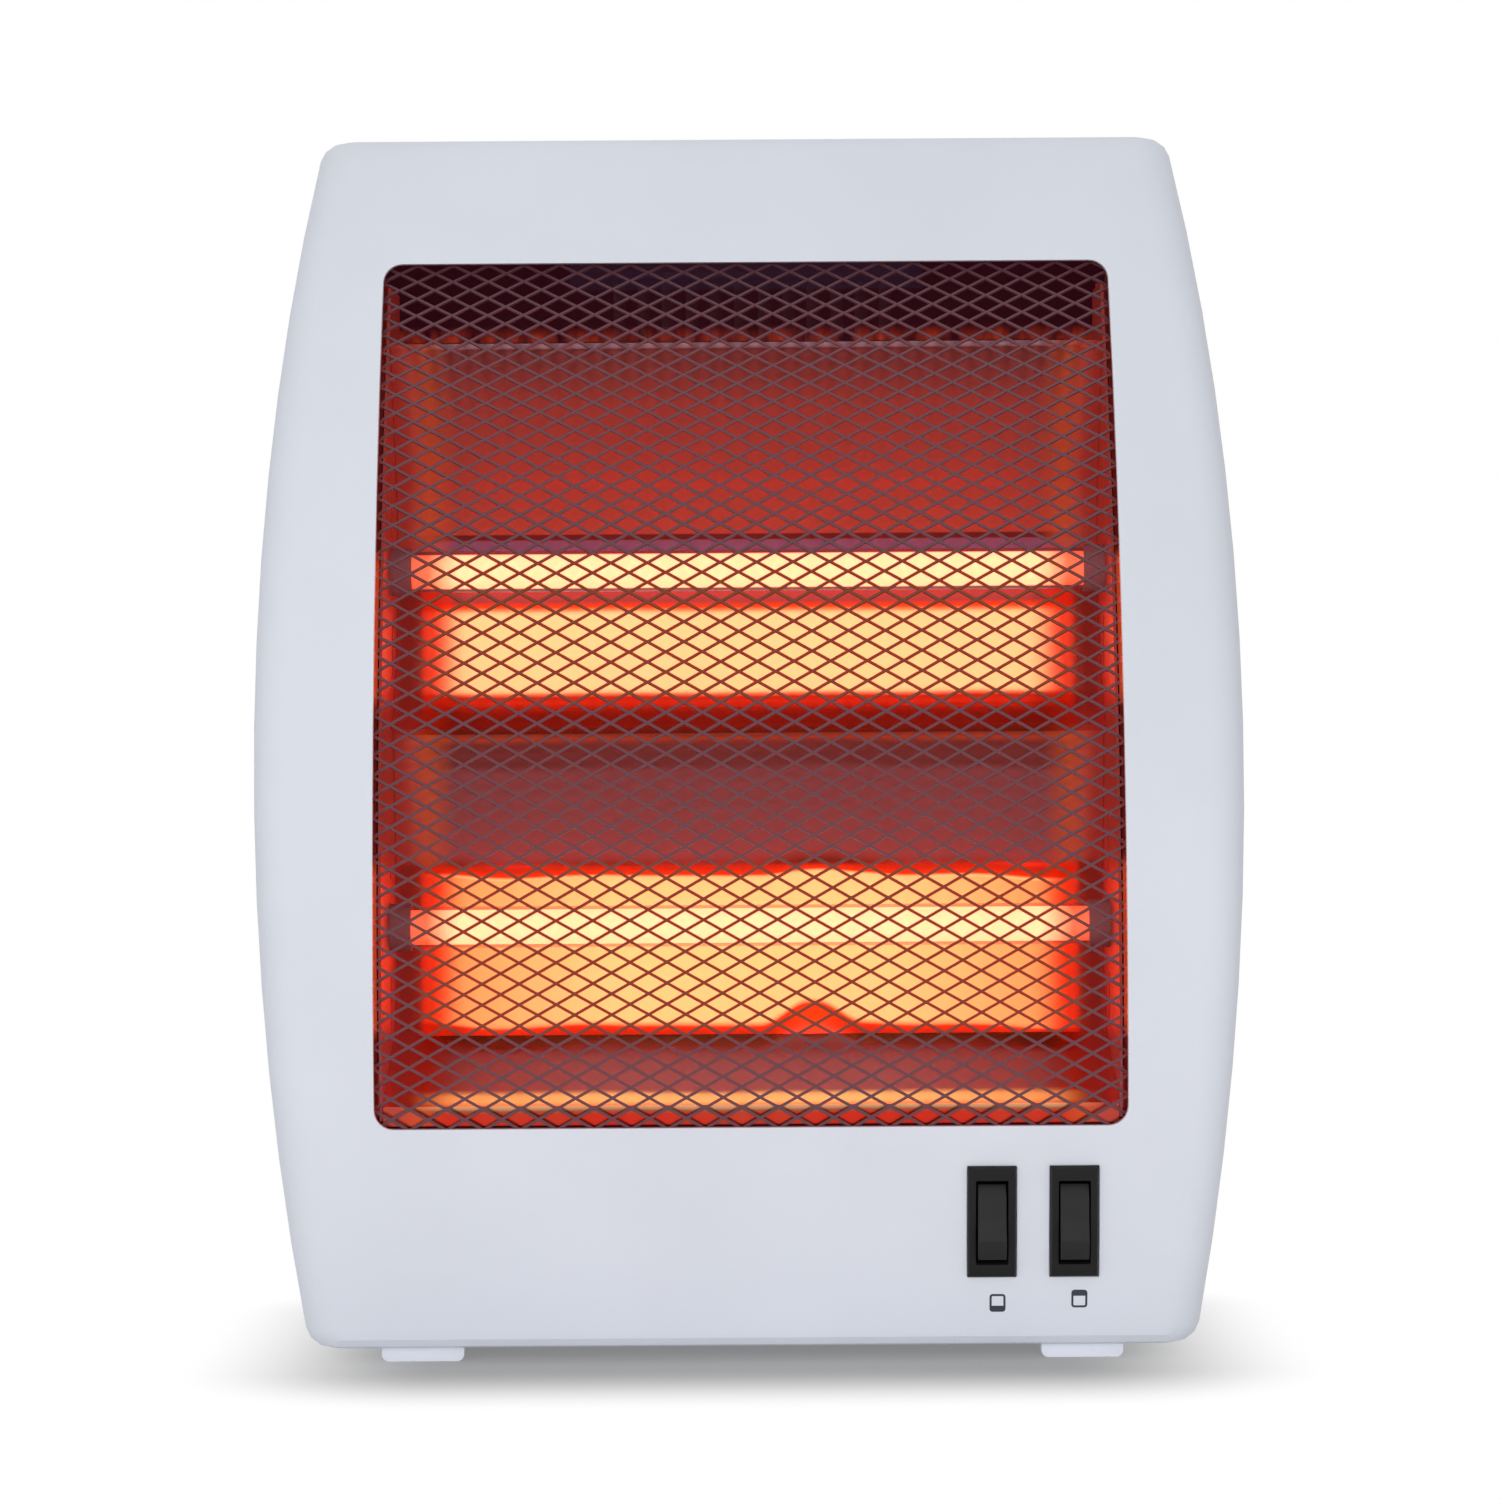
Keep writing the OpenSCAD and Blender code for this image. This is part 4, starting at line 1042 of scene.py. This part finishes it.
class HEATER_OT_tubes(bpy.types.Operator):
    """Quartz tubes with their wound wires, caps and studs"""
    bl_idname = "heater.tubes"
    bl_label = "Heating tubes"

    def execute(self, context):
        turns = context.scene.heater_sizes.coil_turns
        for level, middle in (("upper", UPPER_TUBE), ("lower", LOWER_TUBE)):
            named(self.tube(middle), level + "_quartz_tube", None, "quartz",
                  "quartz_tube_" + level, smooth=50)
            named(self.wire(middle, turns), level + "_wound_wire", finish_wire, "hot_wire",
                  "heating_coil_" + level, smooth=60)
            rounded("ceramic_caps_" + level, level + "_caps", finish_ceramic, "ceramic", 0.6 * MM)
        rounded("tube_terminals", "studs_and_nuts", finish_zinc, "plated_steel", 0.2 * MM)
        return {"FINISHED"}

    def tube(self, middle):
        """An open tube with fire-polished ends, its inner wall in a finish of its own."""
        tube = primitive("cylinder", vertices=64, radius=TUBE_R, depth=2 * TUBE_HALF_L,
                         end_fill_type="NOTHING", location=middle, rotation=(0, QUARTER, 0))
        modify(tube, "SOLIDIFY", thickness=TUBE_WALL, offset=-1)
        modify(tube, "BEVEL", width=TUBE_ROUND, segments=3, limit_method="ANGLE",
               angle_limit=math.radians(60))
        tube.data.materials.append(finish(finish_quartz))
        tube.data.materials.append(finish(finish_glow))
        for face in tube.data.polygons:
            spot = face.center - middle
            inner = (math.hypot(spot.y, spot.z) < TUBE_R - TUBE_WALL / 2
                     and abs(spot.x) < TUBE_HALF_L - TUBE_WALL)
            face.material_index = int(inner)
        return tube

    def wire(self, middle, turns):
        """One wire wound about the tube's middle line, with straight leads."""
        wire = wound("X", turns, 2 * COIL_HALF_L / turns, vertices=10, radius=WIRE_R,
                     location=(-COIL_HALF_L, COIL_R, 0))
        with Editing(wire, "EDGE") as edit:
            for way in SIDES:
                edit.select(lambda p, e: e.is_boundary
                            and abs(p.x - way * COIL_HALF_L) < WIRE_R * 1.1)
                bpy.ops.mesh.extrude_region_move(TRANSFORM_OT_translate={
                    "value": (way * (STUD_X - COIL_HALF_L), 0, 0)})
                bpy.ops.mesh.edge_face_add()
            edit.everything()
            bpy.ops.mesh.normals_make_consistent(inside=False)
        wire.location = middle
        return wire


# ---- Switches ----

ROCKER_TRIM = 0.9 * MM      # taken off the upper end
ROCKER_NOSE = 0.6 * MM      # added at the lower end
ROCKER_BEND = 5.6 * MM      # height of the part that falls back at the lower end
ROCKER_FALL = 0.7 * MM      # how far it falls back
SIGN_W = 4.5 * MM
SIGN_H = 5.2 * MM
SIGN_LINE = 0.6 * MM
SIGN_ROUND = 0.9 * MM
SIGN_RAISED = 0.05 * MM
SIGN_LEVEL = 0.16 * SIGN_H  # from its middle to the edge of its filled part
SIGNS = (
    # name, place across, height, and the side that is left open: 1 above, -1 below
    ("lower_half_sign", 68.9 * MM, 16.7 * MM, 1),
    ("upper_half_sign", 91.9 * MM, 17.8 * MM, -1),
)


class HEATER_OT_switches(bpy.types.Operator):
    """Rocker switches with their bezels, and the signs printed under them"""
    bl_idname = "heater.switches"
    bl_label = "Switches"

    def execute(self, context):
        round_r = context.scene.heater_sizes.edge_round
        for side in ("left", "right"):
            rounded("switch_body_" + side, side + "_bezel", finish_bezel, "switch_black",
                    round_r, 3)
            named(self.rocker(side, round_r), side + "_rocker", finish_rocker, "rocker_black",
                  "rocker_" + side, body="rocker_" + side)
        rounded("switch_terminals", "switch_blades", finish_brass, "brass_parts", 0.12 * MM)
        for sign in SIGNS:
            self.sign(*sign)
        return {"FINISHED"}

    def rocker(self, side, round_r):
        """A rocker with a gap over it, and a lower end that falls back to a rounded nose."""
        low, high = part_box("rocker_" + side)
        nose_z = low.z - ROCKER_NOSE
        rocker = merged_copy("rocker_" + side)
        with Editing(rocker) as edit:
            edit.cut((0, 0, high.z - ROCKER_TRIM), (0, 0, 1), clear_outer=True, use_fill=True)
            edit.select(lambda p, v: p.z < low.z + 1.5 * MM)
            bpy.ops.transform.translate(value=(0, 0, -ROCKER_NOSE))
            edit.cut((0, 0, nose_z + ROCKER_BEND), (0, 0, 1))
            edit.select(lambda p, v: p.z < nose_z + 1.5 * MM and p.y < low.y + 2 * MM)
            bpy.ops.transform.translate(value=(0, ROCKER_FALL, 0))
        round_edges(rocker, round_r, 3, 12)
        return rocker

    def sign(self, name, x, z, way):
        """A small rounded square, one half filled, printed on the front."""
        area = SIGN_W * SIGN_H
        level = -way * SIGN_LEVEL
        sign = primitive("plane", (SIGN_W, SIGN_H, 1), size=1, rotation=UPRIGHT)
        with Editing(sign) as edit:
            edit.everything()
            bpy.ops.mesh.bevel(offset=SIGN_ROUND, segments=5, affect="VERTICES")
        with Editing(sign, "FACE") as edit:
            edit.everything()
            bpy.ops.mesh.inset(thickness=SIGN_LINE)
            edit.select(lambda p, f: f.calc_area() > area * 0.3)
            bpy.ops.mesh.bisect(plane_co=(0, 0, level), plane_no=(0, 0, 1))
            edit.select(lambda p, f: (p.z - level) * way > 0 and abs(p.x) < 0.1 * MM
                        and f.calc_area() > area * 0.2)
            bpy.ops.mesh.delete(type="FACE")
        modify(sign, "SOLIDIFY", thickness=2 * SIGN_RAISED, offset=0)
        spot, facing = self.front_at(x, z)
        lean = math.atan2(facing.z, -facing.y)
        sign.data.transform(Matrix.Translation(spot) @ Matrix.Rotation(-lean, 4, "X"))
        return named(sign, name, finish_ink, "switch_black")

    def front_at(self, x, z):
        """Where a line from the front meets the front cover, and its normal there."""
        cover = bvhtree.BVHTree.FromObject(bpy.data.objects["front_shell"],
                                           bpy.context.evaluated_depsgraph_get())
        spot, normal = cover.ray_cast(Vector((x, -1, z)), Vector((0, 1, 0)))[:2]
        if spot is None:
            raise RuntimeError("no front cover at that place")
        return spot, normal


# ---- Screws ----

HEAD_R = 3.4 * MM
HEAD_H = 2.0 * MM
HEAD_FLAT = 0.9 * MM        # from its edge to the flat top
HEAD_FALL = 0.7 * MM        # from the flat top to the edge
HEAD_ROUND = 0.35 * MM
SHANK_R = 1.3 * MM
POINT = 0.5 * MM            # ring round the end of a shank
CROSS_ARM = (4.0 * MM, 0.75 * MM, 2.0 * MM)
CROSS_TAPER = 0.55


class HEATER_OT_screws(bpy.types.Operator):
    """Cross-head screws of the case, feet, guard and reflector"""
    bl_idname = "heater.screws"
    bl_label = "Screws"

    def execute(self, context):
        head = self.head()
        for node in ("case_screws", "foot_screws", "guard_screws", "reflector_screws"):
            screws = [self.screw(head, *box) for box in island_boxes(node)]
            named(join(*screws), node.replace("_", "_cross_"), finish_zinc, "plated_steel", node)
        bpy.data.objects.remove(head)
        return {"FINISHED"}

    def head(self):
        """A pan head with a cross recess, its seat on the floor plane and its top up."""
        head = primitive("cylinder", vertices=32, radius=HEAD_R, depth=HEAD_H,
                         location=(0, 0, HEAD_H / 2))
        with Editing(head, "FACE") as edit:
            edit.select(lambda p, f: p.z > HEAD_H * 0.9)
            bpy.ops.mesh.inset(thickness=HEAD_FLAT)
        with Editing(head) as edit:
            edit.select(lambda p, v: p.z > HEAD_H * 0.9 and math.hypot(p.x, p.y) > HEAD_R * 0.9)
            bpy.ops.transform.translate(value=(0, 0, -HEAD_FALL))
        modify(head, "BEVEL", width=HEAD_ROUND, segments=3, limit_method="ANGLE",
               angle_limit=math.radians(20))
        cross, other = [self.cross_arm(turn) for turn in (0, QUARTER)]
        modify(cross, "BOOLEAN", operation="UNION", object=other, solver="EXACT")
        modify(head, "BOOLEAN", operation="DIFFERENCE", object=cross, solver="EXACT")
        for cutter in (cross, other):
            bpy.data.objects.remove(cutter)
        return head

    def cross_arm(self, turn):
        arm = primitive("cube", CROSS_ARM, size=1, location=(0, 0, HEAD_H),
                        rotation=(0, 0, turn))
        with Editing(arm) as edit:
            edit.select(lambda p, v: p.z < HEAD_H)
            bpy.ops.transform.resize(value=(CROSS_TAPER, CROSS_TAPER, 1),
                                     center_override=(0, 0, HEAD_H))
        return arm

    def screw(self, head, low, high):
        """One screw in a solid's box: down through the floor or out of the back."""
        size = high - low
        axis = max(range(3), key=lambda i: size[i])
        outward = -1 if axis == 2 else 1
        direction = Vector([outward if i == axis else 0 for i in range(3)])
        middle = (low + high) / 2
        tip = middle - direction * size[axis] / 2
        seat = middle + direction * (size[axis] / 2 - HEAD_H)
        turn = direction.to_track_quat("Z", "Y")
        shank = primitive("cylinder", vertices=20, radius=SHANK_R, depth=(seat - tip).length,
                          location=(seat + tip) / 2, rotation=turn.to_euler())
        with Editing(shank, "FACE") as edit:
            edit.select(lambda p, f: (p - tip).length < 0.1 * MM)
            bpy.ops.mesh.inset(thickness=POINT)
        return join(copied(head, seat, turn.to_matrix().to_4x4()), shank)


# ---- Gland and inner parts ----

SPRING_WIRE_R = 0.35 * MM
SPRING_TURNS = 6
INNER_PARTS = (
    # node, piece, finish, slot, body, rounding
    ("cord_gland", "gland", finish_gland, "gland_black", HOUSING, 0.4 * MM),
    ("terminal_block", "lead_block", finish_white, "terminal_white", HOUSING, 0.4 * MM),
    ("tip_switch_body", "tip_switch_case", finish_white, "tip_switch_white", HOUSING, 0.4 * MM),
    ("tip_plunger", "plunger", finish_red, "tip_plunger_red", "tip_plunger", 0.25 * MM),
)


class HEATER_OT_inner_parts(bpy.types.Operator):
    """Cord gland, terminal block and tip-over switch"""
    bl_idname = "heater.inner_parts"
    bl_label = "Gland and inner parts"

    def execute(self, context):
        for node, name, look, slot, body, radius in INNER_PARTS:
            rounded(node, name, look, slot, radius, body=body)
        named(self.spring(), "plunger_spring", finish_zinc, "plated_steel", "tip_spring",
              smooth=60)
        return {"FINISHED"}

    def spring(self):
        """A wound spring in the space between the plunger's collar and the case."""
        low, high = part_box("tip_spring")
        rise = (high.z - low.z - 2 * SPRING_WIRE_R) / SPRING_TURNS
        spring = wound("Z", SPRING_TURNS, rise, vertices=8, radius=SPRING_WIRE_R,
                       location=((high.x - low.x) / 2 - SPRING_WIRE_R, 0, 0), rotation=UPRIGHT)
        with Editing(spring, "EDGE") as edit:
            edit.select(lambda p, e: e.is_boundary and p.z < SPRING_WIRE_R * 1.1)
            bpy.ops.mesh.edge_face_add()
            edit.select(lambda p, e: e.is_boundary)
            bpy.ops.mesh.edge_face_add()
            edit.everything()
            bpy.ops.mesh.normals_make_consistent(inside=False)
        spring.location = ((low.x + high.x) / 2, (low.y + high.y) / 2, low.z + SPRING_WIRE_R)
        return spring


# ---- Stage ----

CAMERA_X = 0.35 * MM
SENSOR_W = 36               # in millimetres, as the lens
LAMP_AIM = Vector((0, 0, 0.17))
LAMPS = (
    # name, which is also that of its power among the stage's values, place and size
    ("above", (-0.03, 0.42, 1.55), 0.62),
    ("front", (-0.25, -2.4, 0.35), 1.6),
)
FLOOR_SIZE = 12
SHADOW_HALF_W = 85          # the painted shadow's deep part and its soft edge, in millimetres
SHADOW_EDGE = 78


class HEATER_OT_stage(bpy.types.Operator):
    """Pale floor, soft lights and the camera"""
    bl_idname = "heater.stage"
    bl_label = "Stage"

    def execute(self, context):
        stage = context.scene.heater_stage
        self.camera(stage)
        self.sky(stage)
        self.floor()
        for name, place, size in LAMPS:
            self.lamp(name, place, size, getattr(stage, name))
        context.scene.view_settings.view_transform = "Standard"
        return {"FINISHED"}

    def camera(self, stage):
        camera = bpy.data.objects.new("camera", bpy.data.cameras.new("camera"))
        bpy.context.scene.collection.objects.link(camera)
        camera.data.lens = stage.lens
        camera.data.sensor_width = SENSOR_W
        camera.matrix_world = (
            Matrix.Translation((CAMERA_X, -stage.camera_distance, stage.camera_height))
            @ Matrix.Rotation(QUARTER, 4, "X")
            @ Matrix.Rotation(stage.camera_roll, 4, "Z"))
        bpy.context.scene.camera = camera

    def seen(self, paint):
        """1 for the rays that show a background, straight or in metal and glass."""
        rays = [paint.add("ShaderNodeLightPath", output=name)
                for name in ("Is Camera Ray", "Is Glossy Ray", "Is Transmission Ray")]
        return rays[0].either(rays[1]).either(rays[2])

    def sky(self, stage):
        world = bpy.data.worlds.new("studio")
        bpy.context.scene.world = world
        paint = Shader("studio", world)
        light = stage.sky + (1.0 - stage.sky) * self.seen(paint)
        sky = paint.add("ShaderNodeBackground", None,
                        {"Color": (1, 1, 1, 1), "Strength": light})
        paint.done(sky, "ShaderNodeOutputWorld")

    def floor(self):
        """It lights the heater as pale matt, and is seen as white with a painted soft grey shadow
        round the heater's footprint.
        """
        floor = primitive("plane", size=FLOOR_SIZE)
        floor.name = "floor"
        paint = Shader("pale_floor")
        cloud = paint.noise(2.0, 2)
        lit = self.matt(paint, cloud, 0.90, 0.92, 0.08)
        # Painted shadow: a dark grey that the floor shows near the heater, fading to white with
        # distance.
        near = self.matt(paint, cloud, 0.24, 0.26, 0.20)
        x, y, _ = paint.axes()
        beside = (abs(x) - SHADOW_HALF_W).either(0)
        before = (abs(y) - CAD_BOX[1][1] / MM).either(0)
        away = ((beside * beside + before * before) ** 0.5).rise(0, SHADOW_EDGE)
        shown = paint.blend(away.eased(), near, self.glow(paint, 1.0))
        floor.data.materials.append(paint.done(paint.blend(self.seen(paint), lit, shown)))

    def matt(self, paint, cloud, dark, pale, strength):
        """A matt grey with a little light of its own."""
        tone = paint.mix(cloud, (dark, dark, dark), (pale, pale, pale))
        matt = paint.add("ShaderNodeBsdfDiffuse", None, {"Color": tone})
        return paint.add("ShaderNodeAddShader", None, {0: matt, 1: self.glow(paint, strength)})

    def glow(self, paint, strength):
        return paint.add("ShaderNodeEmission", None, {"Color": (1, 1, 1, 1), "Strength": strength})

    def lamp(self, name, place, size, power):
        light = bpy.data.lights.new(name, "AREA")
        light.shape = "SQUARE"
        light.size = size
        light.energy = power
        lamp = bpy.data.objects.new(name, light)
        bpy.context.scene.collection.objects.link(lamp)
        lamp.location = place
        lamp.visible_glossy = False
        aim = LAMP_AIM - Vector(place)
        lamp.rotation_euler = aim.to_track_quat("-Z", "Y").to_euler()


# ---- The add-on ----

OPERATORS = (HEATER_OT_stage, HEATER_OT_shells, HEATER_OT_guard, HEATER_OT_reflector,
             HEATER_OT_tubes, HEATER_OT_switches, HEATER_OT_screws, HEATER_OT_inner_parts)
GROUPS = (("heater_sizes", HeaterSizes), ("heater_colours", HeaterColours),
          ("heater_stage", HeaterStage))


class HEATER_PT_panel(bpy.types.Panel):
    """Lists the heater's pieces"""
    bl_idname = "HEATER_PT_panel"
    bl_label = "Bar heater"
    bl_space_type = "VIEW_3D"
    bl_region_type = "UI"
    bl_category = "Bar heater"

    def draw(self, context):
        for operator in OPERATORS:
            self.layout.operator(operator.bl_idname)


def register():
    for name, group in GROUPS:
        bpy.utils.register_class(group)
        setattr(bpy.types.Scene, name, PointerProperty(type=group))
    for thing in (*OPERATORS, HEATER_PT_panel):
        bpy.utils.register_class(thing)


def unregister():
    for thing in (HEATER_PT_panel, *reversed(OPERATORS)):
        bpy.utils.unregister_class(thing)
    for name, group in reversed(GROUPS):
        delattr(bpy.types.Scene, name)
        bpy.utils.unregister_class(group)


def main():
    register()
    for operator in OPERATORS:
        getattr(bpy.ops.heater, operator.bl_idname.split(".")[1])()


if __name__ == "__main__":
    main()
